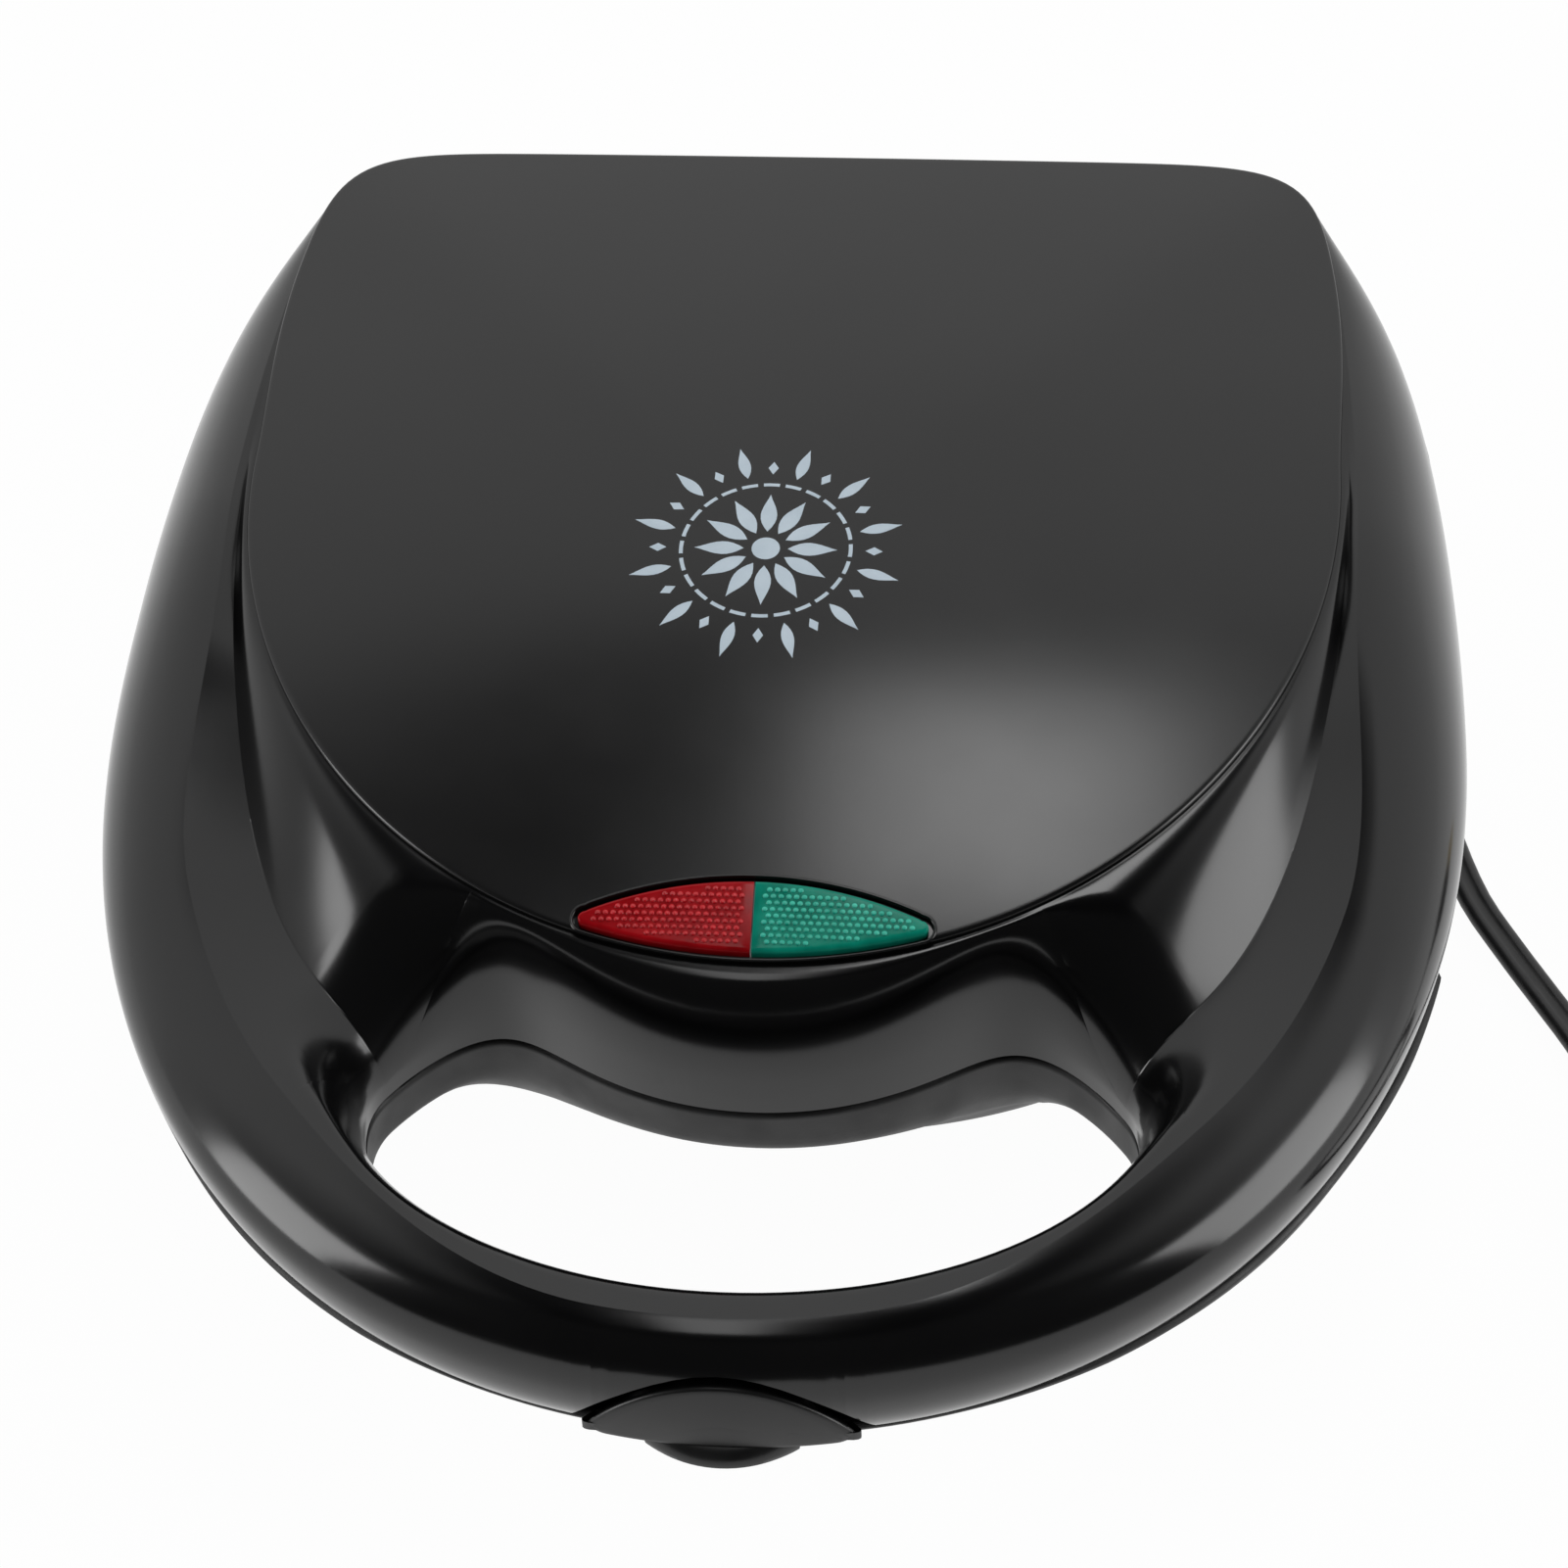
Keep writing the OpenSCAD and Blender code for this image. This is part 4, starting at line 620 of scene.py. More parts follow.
# %% Lens window
LENS_W, LENS_FRONT, LENS_REAR, LENS_Y, LENS_PROUD, LENS_TIP, WINDOW_GAP = 58.6, 4.8, 6.6, -46.8, 0.6, 1.2, 0.7
front_r, rear_r = (((LENS_W / 2) ** 2 + bow**2) / (2 * bow) for bow in (LENS_FRONT, LENS_REAR))


def lens_arcs(x, grow):
    """The two arcs of the pointed oval at x."""
    low = LENS_Y - LENS_FRONT + front_r - np.sqrt((front_r + grow) ** 2 - x**2)
    high = LENS_Y + LENS_REAR - rear_r + np.sqrt((rear_r + grow) ** 2 - x**2)
    return low, high


tip_x, far = LENS_W / 2 - 6, LENS_W / 2
for _ in range(HALVINGS):
    half_way = (tip_x + far) / 2
    front, behind = lens_arcs(half_way, -LENS_TIP)
    tip_x, far = (half_way, far) if front < behind else (tip_x, half_way)
tip_y = float(lens_arcs(tip_x, -LENS_TIP)[0])


def lens_edge(x, grow):
    """Front and rear edge of the oval at x, with a small round at each tip."""
    low, high = lens_arcs(x, grow)
    end = np.sqrt(np.maximum(0, (LENS_TIP + grow) ** 2 - np.maximum(0, np.abs(x) - tip_x) ** 2))
    at_tip = np.abs(x) > tip_x
    return np.where(at_tip, np.maximum(low, tip_y - end), low), np.where(at_tip, np.minimum(high, tip_y + end), high)


def lens_outline(grow):
    """The oval's outline, from its left tip along the front and back along the rear."""
    x = (tip_x + LENS_TIP + grow) * np.sin(np.linspace(-np.pi / 2, np.pi / 2, 91))
    front, behind = lens_edge(x, grow)
    return np.vstack([np.stack([x, front], 1), np.stack([x, behind], 1)[-2:0:-1]])


# %% Window in the panel
def made(piece):
    """Replaces a piece's mesh by what its modifiers make of it."""
    graph = bpy.context.evaluated_depsgraph_get()
    mesh = bpy.data.meshes.new_from_object(piece.evaluated_get(graph))
    piece.modifiers.clear()
    piece.data = mesh
    return piece


def crisp(piece, degrees):
    """Shades a piece flat across edges that fold by more than an angle."""
    piece.data.set_sharp_from_angle(angle=math.radians(degrees))
    return piece


hole = lens_outline(WINDOW_GAP)
cutter = piece_from("window_cutter", np.vstack([np.column_stack([hole, np.full(len(hole), z)]) for z in (60, 95)]),
                    ring_faces(2, len(hole)))
cut = panel.modifiers.new("window", "BOOLEAN")
cut.object, cut.operation, cut.solver = cutter, "DIFFERENCE", "EXACT"
made(panel)
bpy.data.objects.remove(cutter)
seat(crisp(panel, 50), "lid", "gloss_shell", "lid_shell")

# %% Lip round the window
LIP_R, LIP_SIDES = 0.3, 10


def full_turn(sides):
    """The angles of a full turn, one for each side."""
    return np.linspace(0, 2 * np.pi, sides, endpoint=False)


def ring_tube(outline, r, sides):
    """A thin closed tube on the panel along an outline."""
    line = np.column_stack([outline, panel_z(outline[:, 0], outline[:, 1]) + 0.05])
    ahead = np.roll(line, -1, 0) - np.roll(line, 1, 0)
    outward = np.cross(ahead, (0, 0, 1))
    outward /= np.linalg.norm(outward, axis=1)[:, None]
    a = full_turn(sides)[None, :, None]
    points = line[:, None] + r * (outward[:, None] * np.cos(a) + np.array((0, 0, 1)) * np.sin(a))
    return points.reshape(-1, 3), ring_faces(len(line), sides, loop=True, caps=False)


lip = piece_from("window_lip", *ring_tube(lens_outline(WINDOW_GAP + LIP_R), LIP_R, LIP_SIDES), gloss_shell)
seat(lip, "lid", "gloss_shell", "lid_shell")

# %% Lens slabs
LENS_SPLIT, LENS_ROUND, LENS_DEEP = 0.12, 0.7, 0.85


def lens_slab(name, way, material):
    """One half of the oval as a closed slab; way is -1 for the left half and 1 for the right."""
    x = LENS_SPLIT + (tip_x + LENS_TIP - 0.14) * np.sin(np.linspace(0, np.pi / 2, 44))
    v = -np.cos(np.linspace(0, np.pi, 25))
    low, high = (edge[:, None] for edge in lens_edge(x, -0.02))
    y = mix(low, high, (v + 1) / 2)
    xx = np.repeat(x[:, None], len(v), 1)
    d = np.minimum(np.minimum(y - low, high - y), 3 * (xx - LENS_SPLIT) + 0.35)
    on_panel = panel_z(xx * way, y)
    top, bottom = on_panel + LENS_PROUD - LENS_ROUND * roll_over(d, LENS_ROUND), on_panel - LENS_DEEP
    points = np.vstack([np.stack([xx * way, y, z], -1).reshape(-1, 3) for z in (top, bottom)])
    rows, columns = y.shape
    m = rows * columns
    at = np.arange(m).reshape(rows, columns)
    rim = [*at[0], *at[1:, -1], *at[-1, -2::-1], *at[-2:0:-1, 0]]
    walls = [[a, b, b + m, a + m] for a, b in zip(rim, rim[1:] + rim[:1])]
    faces = [*grid_faces(rows, columns, turned=True), *grid_faces(rows, columns, m), *walls]
    return crisp(piece_from(name, points, faces if way > 0 else [f[::-1] for f in faces], material), 50)


lens_clear = {}
for colour, way, dark, light in (("red", -1, (0.22, 0.002, 0.004), (0.38, 0.004, 0.008)),
                                 ("green", 1, (0.002, 0.17, 0.115), (0.004, 0.28, 0.19))):
    lens_clear[colour] = finish(colour + "_clear", dark, light, (0.12, 0.2), 5, 0.6, 0.0, Specular_IOR_Level=0.14)
    seat(lens_slab(colour + "_window", way, lens_clear[colour]), "lid", colour + "_lens", colour + "_lens")

# %% [markdown]
# ## The bumps on the lenses
# Small domes in staggered rows spread the lamps' light. A loop could join hundreds of spheres, but Geometry Nodes
# keeps one dome and sets it on every point, with the dome's width and height as inputs. The result is then made a
# plain mesh.


# %% Repeats with Geometry Nodes
def repeat_tree(name, sizes, build):
    """A node tree that sets what build makes on each point; sizes names its number inputs."""
    tree = bpy.data.node_groups.new(name, "GeometryNodeTree")
    for socket, way, kind in (("Points", "INPUT", "Geometry"), *((size, "INPUT", "Float") for size in sizes),
                              ("Finish", "INPUT", "Material"), ("Repeats", "OUTPUT", "Geometry")):
        tree.interface.new_socket(socket, in_out=way, socket_type="NodeSocket" + kind)
    given, result, on_points, real, smooth, paint = (add(tree, kind) for kind in (
        "NodeGroupInput", "NodeGroupOutput", "GeometryNodeInstanceOnPoints", "GeometryNodeRealizeInstances",
        "GeometryNodeSetShadeSmooth", "GeometryNodeSetMaterial"))
    build(tree, given, on_points)
    wire(tree, (given, "Points", on_points, "Points"), (on_points, "Instances", real, "Geometry"),
         (real, "Geometry", smooth, "Geometry"), (smooth, "Geometry", paint, "Geometry"),
         (given, "Finish", paint, "Material"), (paint, "Geometry", result, "Repeats"))
    return tree


def repeated(name, points, tree, material, **sizes):
    """A plain mesh of the tree's repeats on the points; sizes are in millimetres."""
    piece = piece_from(name, points, [])
    repeat = piece.modifiers.new("repeats", "NODES")
    repeat.node_group = tree
    for item in tree.interface.items_tree:
        size = item.name.replace(" ", "_").lower()
        if item.in_out == "INPUT" and size in sizes:
            repeat[item.identifier] = sizes[size] * MM
        elif item.name == "Finish":
            repeat[item.identifier] = material
    return made(piece)


def dome(tree, given, on_points):
    """A ball that is stretched to the bump's width and height."""
    ball = add(tree, "GeometryNodeMeshIcoSphere", Subdivisions=2, Radius=0.5)
    size = add(tree, "ShaderNodeCombineXYZ")
    wire(tree, (given, "Bump width", size, "X"), (given, "Bump width", size, "Y"), (given, "Bump height", size, "Z"),
         (ball, "Mesh", on_points, "Instance"), (size, "Vector", on_points, "Scale"))


# %% Lens bumps
BUMP_PITCH, BUMP_W, BUMP_H, ROW_PITCH = 1.2, 0.95, 0.5, 0.866
bumps = np.array([((i + 0.5 * (j % 2)) * BUMP_PITCH, LENS_Y + 0.9 + j * BUMP_PITCH * ROW_PITCH)
                  for j in range(-8, 9) for i in range(-26, 27)])
bump_low, bump_high = lens_edge(np.clip(bumps[:, 0], -30, 30), -1.1)
bumps = bumps[(bumps[:, 1] > bump_low) & (bumps[:, 1] < bump_high) & (np.abs(bumps[:, 0]) > 1.5)]
bumps = np.column_stack([bumps, panel_z(bumps[:, 0], bumps[:, 1]) + LENS_PROUD - 0.02])
bump_tree = repeat_tree("lens_bumps", ("Bump width", "Bump height"), dome)
# The domes' colours are lighter than the slabs' behind them: a painted highlight that stands in for the glints on the
# domes.
for colour, way, dark, light, shine in (("red", -1, (0.36, 0.004, 0.008), (0.60, 0.014, 0.022), 0.4),
                                        ("green", 1, (0.006, 0.34, 0.24), (0.04, 0.56, 0.42), 0.5)):
    painted_glint = finish(colour + "_glint", dark, light, (0.06, 0.1), 3, 0.6, 0.0, Specular_IOR_Level=shine)
    own = repeated(colour + "_bumps", bumps[bumps[:, 0] * way > 0], bump_tree, painted_glint,
                   bump_width=BUMP_W, bump_height=BUMP_H)
    seat(own, "lid", colour + "_lens", colour + "_lens")

# %% [markdown]
# ## The latch
# A satin plate fills the arch at the front and follows the rim's curve. A thumb tab below it is pulled up to let go
# of the base. Behind the plate sit the pivot boss and the hooked arm.

# %% Boxes and rods
BOX_SIDES = [(0, 1, 3, 2), (4, 6, 7, 5), (0, 4, 5, 1), (2, 3, 7, 6), (0, 2, 6, 4), (1, 5, 7, 3)]


def gathered(parts):
    """One list of points and one of faces from several."""
    points, faces, count = [], [], 0
    for p, f in parts:
        points.append(p)
        faces.extend([[i + count for i in face] for face in f])
        count += len(p)
    return np.vstack(points), faces


def block(low, high):
    """The points and faces of a box."""
    points = [(x, y, z) for x in (low[0], high[0]) for y in (low[1], high[1]) for z in (low[2], high[2])]
    return np.array(points, float), BOX_SIDES


def rod_x(middle, d, length, sides=40):
    """The points and faces of a rod along X."""
    a = full_turn(sides)
    ring = np.stack([0 * a, d / 2 * np.cos(a), d / 2 * np.sin(a)], 1) + middle
    points = np.vstack([ring - (length / 2, 0, 0), ring + (length / 2, 0, 0)])
    return points, [f[::-1] for f in ring_faces(2, sides)]


# %% Latch plate
FRONT_Y, FRONT_CURVE = -122.5, 94.3
PLATE_HALF, PLATE_RISE, PLATE_LEAN, PLATE_CORNER, CORNER_L = 21.0, 12.6, 2.2, 2.0, 3.2
PLATE_ARCH = (PLATE_HALF**2 + PLATE_RISE**2) / (2 * PLATE_RISE)
# Each ring of the plate: its share of the outline, and how far it stands back from the front.
PLATE_RINGS = ((0.92, 2.4), (0.95, 1.6), (0.98, 1.05), (0.998, 0.66), (0.996, 0.34), (0.978, 0.11), (0.945, 0),
               (0.85, 0), (0.7, 0), (0.5, 0), (0.3, 0), (0.12, 0))


def latch_plate():
    """A lens-shaped plate: rings of points that shrink from the outline to its middle, with a rolled edge."""
    half, low = PLATE_HALF - 0.3, LID_EDGE_Z + 0.1
    a = full_turn(144)
    x = half * np.cos(a)
    top = PART_Z + PLATE_RISE - PLATE_ARCH + np.sqrt(PLATE_ARCH**2 - x**2)
    near_corner = (1 - np.clip((half - np.abs(x)) / CORNER_L, 0, 1)) ** 2
    z = np.where(np.sin(a) > 0, top, low + PLATE_CORNER * near_corner)
    out, middle = np.stack([x, np.maximum(z, low)], 1), np.array((0, low + 5.2))
    rings = []
    for size, behind in PLATE_RINGS:
        flat = middle + (out - middle) * size
        lean = PLATE_LEAN * ((flat[:, 1] - LID_EDGE_Z) / PLATE_RISE) ** 2
        y = FRONT_Y - 1.0 + FRONT_CURVE - np.sqrt(FRONT_CURVE**2 - flat[:, 0] ** 2) + lean + behind
        rings.append(np.column_stack([flat[:, 0], y, flat[:, 1]]))
    n, last = len(a), (len(rings) - 1) * len(a)
    fan = [[last + i, last + (i + 1) % n, last + n] for i in range(n)]
    heart = np.mean(rings[-1], axis=0)
    return np.vstack([*rings, heart]), [*ring_faces(len(rings), n, caps=False), *fan, list(range(n))[::-1]]


# %% Thumb tab
TAB_HALF, TAB_CURVE, TAB_OUT, TAB_BACK_Y = 11.5, 18, 3, FRONT_Y + 1.5
# Each ring of the tab: its height, and how far its front is drawn in.
TAB_RINGS = ((41.8, 0.35), (42.1, 0.0), (42.9, 0.0), (43.8, 0.5), (44.5, 1.3), (44.9, 2.3))


def thumb_tab():
    """A rounded lip: rings that draw in towards the plate as they climb."""
    across = TAB_HALF * np.sin(np.linspace(-np.pi / 2, np.pi / 2, 33))
    front = FRONT_Y - TAB_OUT + TAB_CURVE - np.sqrt(TAB_CURVE**2 - across**2)
    x, y = np.concatenate([across, across[::-1]]), np.concatenate([front, 0 * across + TAB_BACK_Y])
    rings = [np.column_stack([x * (1 - 0.02 * drawn), np.minimum(y + drawn * (1 - (x / TAB_HALF) ** 2), TAB_BACK_Y),
                              np.full(len(x), z)]) for z, drawn in TAB_RINGS]
    return np.vstack(rings), ring_faces(len(rings), len(x))


# %% Latch mesh
satin_latch = finish("satin_latch", (0.0045, 0.0045, 0.0047), (0.008, 0.008, 0.0083), (0.33, 0.42), 8, 0.4, 0.006)
PIVOT_Y, PIVOT_Z, BOSS_D, BOSS_W = -111.5, 50.0, 7, 22
latch_web = block((-11, -119.8, 48.5), (11, PIVOT_Y, 51.5))
latch_boss = rod_x((0, PIVOT_Y, PIVOT_Z), BOSS_D, BOSS_W)
latch_arm = block((-8, -113.1, 36), (8, -111, 50))
latch_nose = block((-7.9, -112.6, 36.1), (7.9, -109.1, 38))
latch_parts = [latch_plate(), thumb_tab(), latch_web, latch_boss, latch_arm, latch_nose]
latch = soften(crisp(piece_from("latch_plate", *gathered(latch_parts), satin_latch), 40), 0.35)
seat(latch, "latch", "matte_plastic", "latch")

# %% [markdown]
# ## Hinge knuckles and ears
# The lid's two knuckles turn on pins held by pairs of ears on the base. They are short rods with a web to the shell.
# Boxes and rods with bevelled edges are enough, because the shells hide where they start.

# %% Hinge
HINGE_X, HINGE_Y, HINGE_Z = 62.0, 119.5, 44.0
KNUCKLE_D, KNUCKLE_W, EAR_W, EAR_OFF, WEB_H = 12.0, 13.4, 6.0, 10.0, 6.4


def rear_wall(x):
    """The parting line's rear edge at a distance x from the middle."""
    lo, hi = 0.0, 1.0
    half_w, _, reach_back, _, power, taper, middle = PART_LINE
    for _ in range(HALVINGS):
        e = (lo + hi) / 2
        lo, hi = (e, hi) if (x / (half_w * (1 - taper * e * e))) ** power + e**power < 1 else (lo, e)
    return middle + reach_back * lo


def webbed_rod(x, width, web_from, web_low):
    """A rod on the hinge's axis, and the web that joins it to a shell."""
    return (rod_x((x, HINGE_Y, HINGE_Z), KNUCKLE_D, width),
            block((x - width / 2, web_from, web_low), (x + width / 2, HINGE_Y, web_low + WEB_H)))


knuckles, ears = [], []
for way in (-1, 1):
    knuckles += webbed_rod(way * HINGE_X, KNUCKLE_W, rear_wall(HINGE_X) - 1, LID_EDGE_Z)
    for x in (HINGE_X - EAR_OFF, HINGE_X + EAR_OFF):
        ears += webbed_rod(way * x, EAR_W, rear_wall(x) - 1.2, BASE_EDGE_Z - WEB_H)
lid_knuckles = soften(crisp(piece_from("lid_knuckles", *gathered(knuckles), gloss_shell), 40), 0.5)
base_ears = soften(crisp(piece_from("base_ears", *gathered(ears), grained_black), 40), 0.5)
seat(lid_knuckles, "lid", "gloss_shell", "lid_shell")
seat(base_ears, "base", "gloss_shell", "base_shell")

# %% [markdown]
# ## Feet, strain relief, plug and tie
# Round rubber parts are turned from a profile, as on a lathe. The strain relief has rings cut into its cone so that
# it can bend. The plug is lofted from a round grip to a rounded block.

# %% Rubber parts
soft_rubber = finish("soft_rubber", (0.008, 0.008, 0.0083), (0.016, 0.016, 0.0165), (0.5, 0.66), 5, 0.3, 0.01)
FOOT_PROFILE = [(4.2, 0.5), (4.8, 0.0), (6.4, 0.0), (7.2, 0.25), (7.7, 0.8), (7.95, 1.6), (7.95, 5.0)]
FOOT_PLACES = [(way * x, y, 0) for way in (-1, 1) for x, y in ((44, -16.5), (60, 85.5))]
RING_COUNT, RING_PITCH, RING_DEEP = 6, 3.0, 0.9


def turned_part(profile, middle, along_y=False, sides=48):
    """Points and faces of a closed part turned from (radius, height) pairs around an axis through a point."""
    profile = np.asarray(profile, float)
    a = full_turn(sides)
    r, h = profile[:, 0][:, None], profile[:, 1][:, None] + 0 * a
    points = np.stack([r * np.cos(a), r * np.sin(a), h], -1)
    if along_y:
        points = points[..., [0, 2, 1]] * (-1, 1, 1)
    return points.reshape(-1, 3) + middle, ring_faces(len(profile), sides)


feet = gathered([turned_part(FOOT_PROFILE, place) for place in FOOT_PLACES])
seat(piece_from("feet", *feet, soft_rubber), "base", "rubber", "rubber_feet")

relief_profile = [(3.45, -6.5), (3.45, 1.4), (4.7, 1.4), (5.0, 1.7)]
for k in range(RING_COUNT):
    h = 3.4 + RING_PITCH * k
    r = mix(4.95, 3.6, h / RELIEF_L)
    relief_profile += [(r, h), (r - RING_DEEP, h + 0.25), (r - RING_DEEP, h + 0.95), (r - 0.08, h + 1.2)]
relief_profile += [(3.5, RELIEF_L - 0.4), (3.1, RELIEF_L)]
relief = crisp(piece_from("relief_boot", *turned_part(relief_profile, RELIEF, along_y=True), soft_rubber), 40)
seat(relief, "base", "rubber", "strain_relief")

# %% Plug
PLUG_Y, BLADE_X, BLADE_HALF_T, BLADE_HALF_H, BLADE_FROM, BLADE_TO = 14.0, 6.35, 0.75, 3.15, 24, 49
# Each section of the plug: place along it, half width, half height, squareness.
PLUG_SECTIONS = [(0, 3.4, 3.0, 2), (0.5, 4.0, 3.6, 2), (3, 4.3, 4.1, 2), (3.6, 3.7, 3.5, 2), (4.6, 3.7, 3.5, 2),
                 (5.2, 4.7, 4.5, 2), (8, 5.0, 4.9, 2), (10, 5.4, 5.3, 2.2), (12, 7.2, 6.2, 2.6), (14, 10.2, 7.0, 3.2),
                 (16.5, 11.7, 7.4, 3.6), (20, 12, 7.45, 4), (28, 12, 7.45, 4), (31, 11.8, 7.3, 4),
                 (31.8, 11.3, 6.9, 4), (32, 10.8, 6.4, 4)]


def loft(sections, middle, sides=64):
    """A closed part through rounded sections that stand one behind the other."""
    a = full_turn(sides)
    c, q = np.cos(a), np.sin(a)
    rings = [np.stack([-w * np.sign(c) * np.abs(c) ** (2 / n), 0 * a + y, h * np.sign(q) * np.abs(q) ** (2 / n)], 1)
             for y, w, h, n in sections]
    return np.vstack(rings) + middle, ring_faces(len(rings), sides)


plug = crisp(piece_from("plug_grip", *loft(PLUG_SECTIONS, (PLUG_X, PLUG_Y, PLUG_Z)), soft_rubber), 35)
seat(plug, "base", "rubber", "plug_body")

bright_brass = finish("bright_brass", (0.55, 0.42, 0.18), (0.66, 0.52, 0.26), (0.22, 0.34), 3, 0.2, 0.002,
                      Metallic=1.0)
blade_parts = [block((x - BLADE_HALF_T, PLUG_Y + BLADE_FROM, PLUG_Z - BLADE_HALF_H),
                     (x + BLADE_HALF_T, PLUG_Y + BLADE_TO, PLUG_Z + BLADE_HALF_H))
               for x in (PLUG_X - BLADE_X, PLUG_X + BLADE_X)]
blades = soften(piece_from("blades", *gathered(blade_parts), bright_brass), 0.35)
seat(blades, "base", "brass", "plug_blades")

# %% Tie
tie_black = finish("tie_black", (0.01, 0.01, 0.0105), (0.02, 0.02, 0.021), (0.4, 0.55), 3, 0.25, 0.008)
TIE_W, TIE_D, TIE_H, TIE_WALL, TIE_BOW, TIE_STEPS = 6, 8.6, 8.2, 0.75, 1.4, 6


def tie_outline(x, grow):
    """The band's outline round the coil's strands, with round corners, standing on the table."""
    across, high, low = TIE_D / 2 + grow - TIE_BOW, TIE_H + grow - TIE_BOW, TIE_BOW - grow
    turns = np.radians(np.linspace(0, 90, TIE_STEPS))
    return np.array([(x, y + TIE_BOW * np.cos(t + math.radians(a)), z + TIE_BOW * np.sin(t + math.radians(a)))
                     for y, z, a in ((across, high, 0), (-across, high, 90), (-across, low, 180), (across, low, 270))
                     for t in turns])


tie_rings = [tie_outline(x * TIE_W / 2, grow) for x, grow in ((-1, 0), (1, 0), (1, -TIE_WALL), (-1, -TIE_WALL))]
tie_points = np.vstack(tie_rings) + (COIL_X, COIL_Y + 31.05, 0)
tie = crisp(piece_from("coil_tie", tie_points, ring_faces(4, 4 * TIE_STEPS, loop=True, caps=False), tie_black), 40)
seat(tie, "base", "tie", "cord_tie")

# %% [markdown]
# ## The printed motif
# A pale print decorates the middle of the panel. Ink could be a second colour in the panel's shader, but a thin
# raised mesh keeps crisp edges at any distance. The design is a plain rosette of leaves, dashes and diamonds.

# %% Motif shapes
INK_X, INK_Y, INK_UP, INK_DOWN = -2.6, 21.0, 0.035, 0.3
PETALS, BUD_R, BUD_SIDES = 12, 2.3, 28


def leaf(first_r, last_r, half_w, steps=10):
    """A pointed leaf from one radius to another, as (radius, sideways) pairs."""
    t = np.linspace(0, 1, steps)
    r = mix(first_r, last_r, t)
    w = half_w * np.sin(np.pi * t**0.8) ** 1.2
    return np.vstack([np.stack([r, -w], 1), np.stack([r, w], 1)[-2:0:-1]])


def dash(r, half_angle, half_t, steps=7):
    """A short piece of a ring."""
    a = np.radians(np.linspace(-half_angle, half_angle, steps))
    ring = np.stack([np.cos(a), np.sin(a)], 1)
    return np.vstack([(r + half_t) * ring, ((r - half_t) * ring)[::-1]])


def inked(shape, degrees):
    """A closed thin plate of a shape, turned round the motif's middle and laid on the panel."""
    a = math.radians(degrees)
    flat = shape @ np.array([(math.cos(a), math.sin(a)), (-math.sin(a), math.cos(a))]) + (INK_X, INK_Y)
    z = panel_z(flat[:, 0], flat[:, 1])
    points = np.vstack([np.column_stack([flat, z + INK_UP]), np.column_stack([flat, z - INK_DOWN])])
    return points, [f[::-1] for f in ring_faces(2, len(flat))]


# %% Motif
pale_ink = finish("pale_ink", (0.50, 0.60, 0.68), (0.58, 0.68, 0.76), (0.45, 0.6), 6, 0.5, 0.004)
diamond = np.array([(16.2, 0), (17.6, -0.85), (19.0, 0), (17.6, 0.85)])
around = full_turn(BUD_SIDES)
ink_parts = [inked(BUD_R * np.stack([np.cos(around), np.sin(around)], 1), 0)]
for degrees in np.arange(PETALS) * 360 / PETALS:
    between = degrees + 180 / PETALS
    for shape, at in ((leaf(3.6, 11.6, 1.35), degrees), (dash(13.8, 5.5, 0.32), between),
                      (dash(13.8, 5.5, 0.32), degrees), (diamond, degrees), (leaf(15.6, 22.6, 1.0), between)):
        ink_parts.append(inked(shape, at))
motif = piece_from("printed_motif", *gathered(ink_parts), pale_ink)
motif.data.shade_flat()
seat(motif, "lid", "gloss_shell", "lid_shell")

# %% [markdown]
# ## Screws of the two frames
# Four cross-head screws hold each frame. One head, with its cross cut by a boolean, is set on every post by Geometry
# Nodes. The lid's screws are the base's, mirrored in the parting plane.

# %% Screw tree
SHANK_R, SHANK_L, SHANK_DOWN, CROSS_T, CROSS_UP = (v * MM for v in (1.45, 6, 3.4, 1.0, 0.7))


def cross_head(tree, given, on_points):
    """A round head with a cross cut into it, on a plain shank."""
    head = add(tree, "GeometryNodeMeshCylinder", Vertices=40)
    shank = add(tree, "GeometryNodeMeshCylinder", Vertices=24, Radius=SHANK_R, Depth=SHANK_L)
    drop = add(tree, "GeometryNodeTransform", Translation=(0, 0, -SHANK_DOWN))
    cut, both, half = (add(tree, kind) for kind in (
        "GeometryNodeMeshBoolean", "GeometryNodeJoinGeometry", "ShaderNodeMath"))
    cut.operation, cut.solver = "DIFFERENCE", "EXACT"
    half.operation, half.inputs[1].default_value = "MULTIPLY", 0.5
    wire(tree, (given, "Head width", half, 0), (half, 0, head, "Radius"), (given, "Head height", head, "Depth"),
         (head, "Mesh", cut, "Mesh 1"))
    for way in (0, 1):
        slot, size = add(tree, "GeometryNodeMeshCube"), add(tree, "ShaderNodeCombineXYZ", Z=CROSS_T)
        size.inputs[1 - way].default_value = CROSS_T
        lift = add(tree, "GeometryNodeTransform", Translation=(0, 0, CROSS_UP))
        wire(tree, (given, "Cross width", size, way), (size, "Vector", slot, "Size"),
             (slot, "Mesh", lift, "Geometry"), (lift, "Geometry", cut, "Mesh 2"))
    wire(tree, (shank, "Mesh", drop, "Geometry"), (cut, "Mesh", both, "Geometry"), (drop, "Geometry", both, "Geometry"),
         (both, "Geometry", on_points, "Instance"))


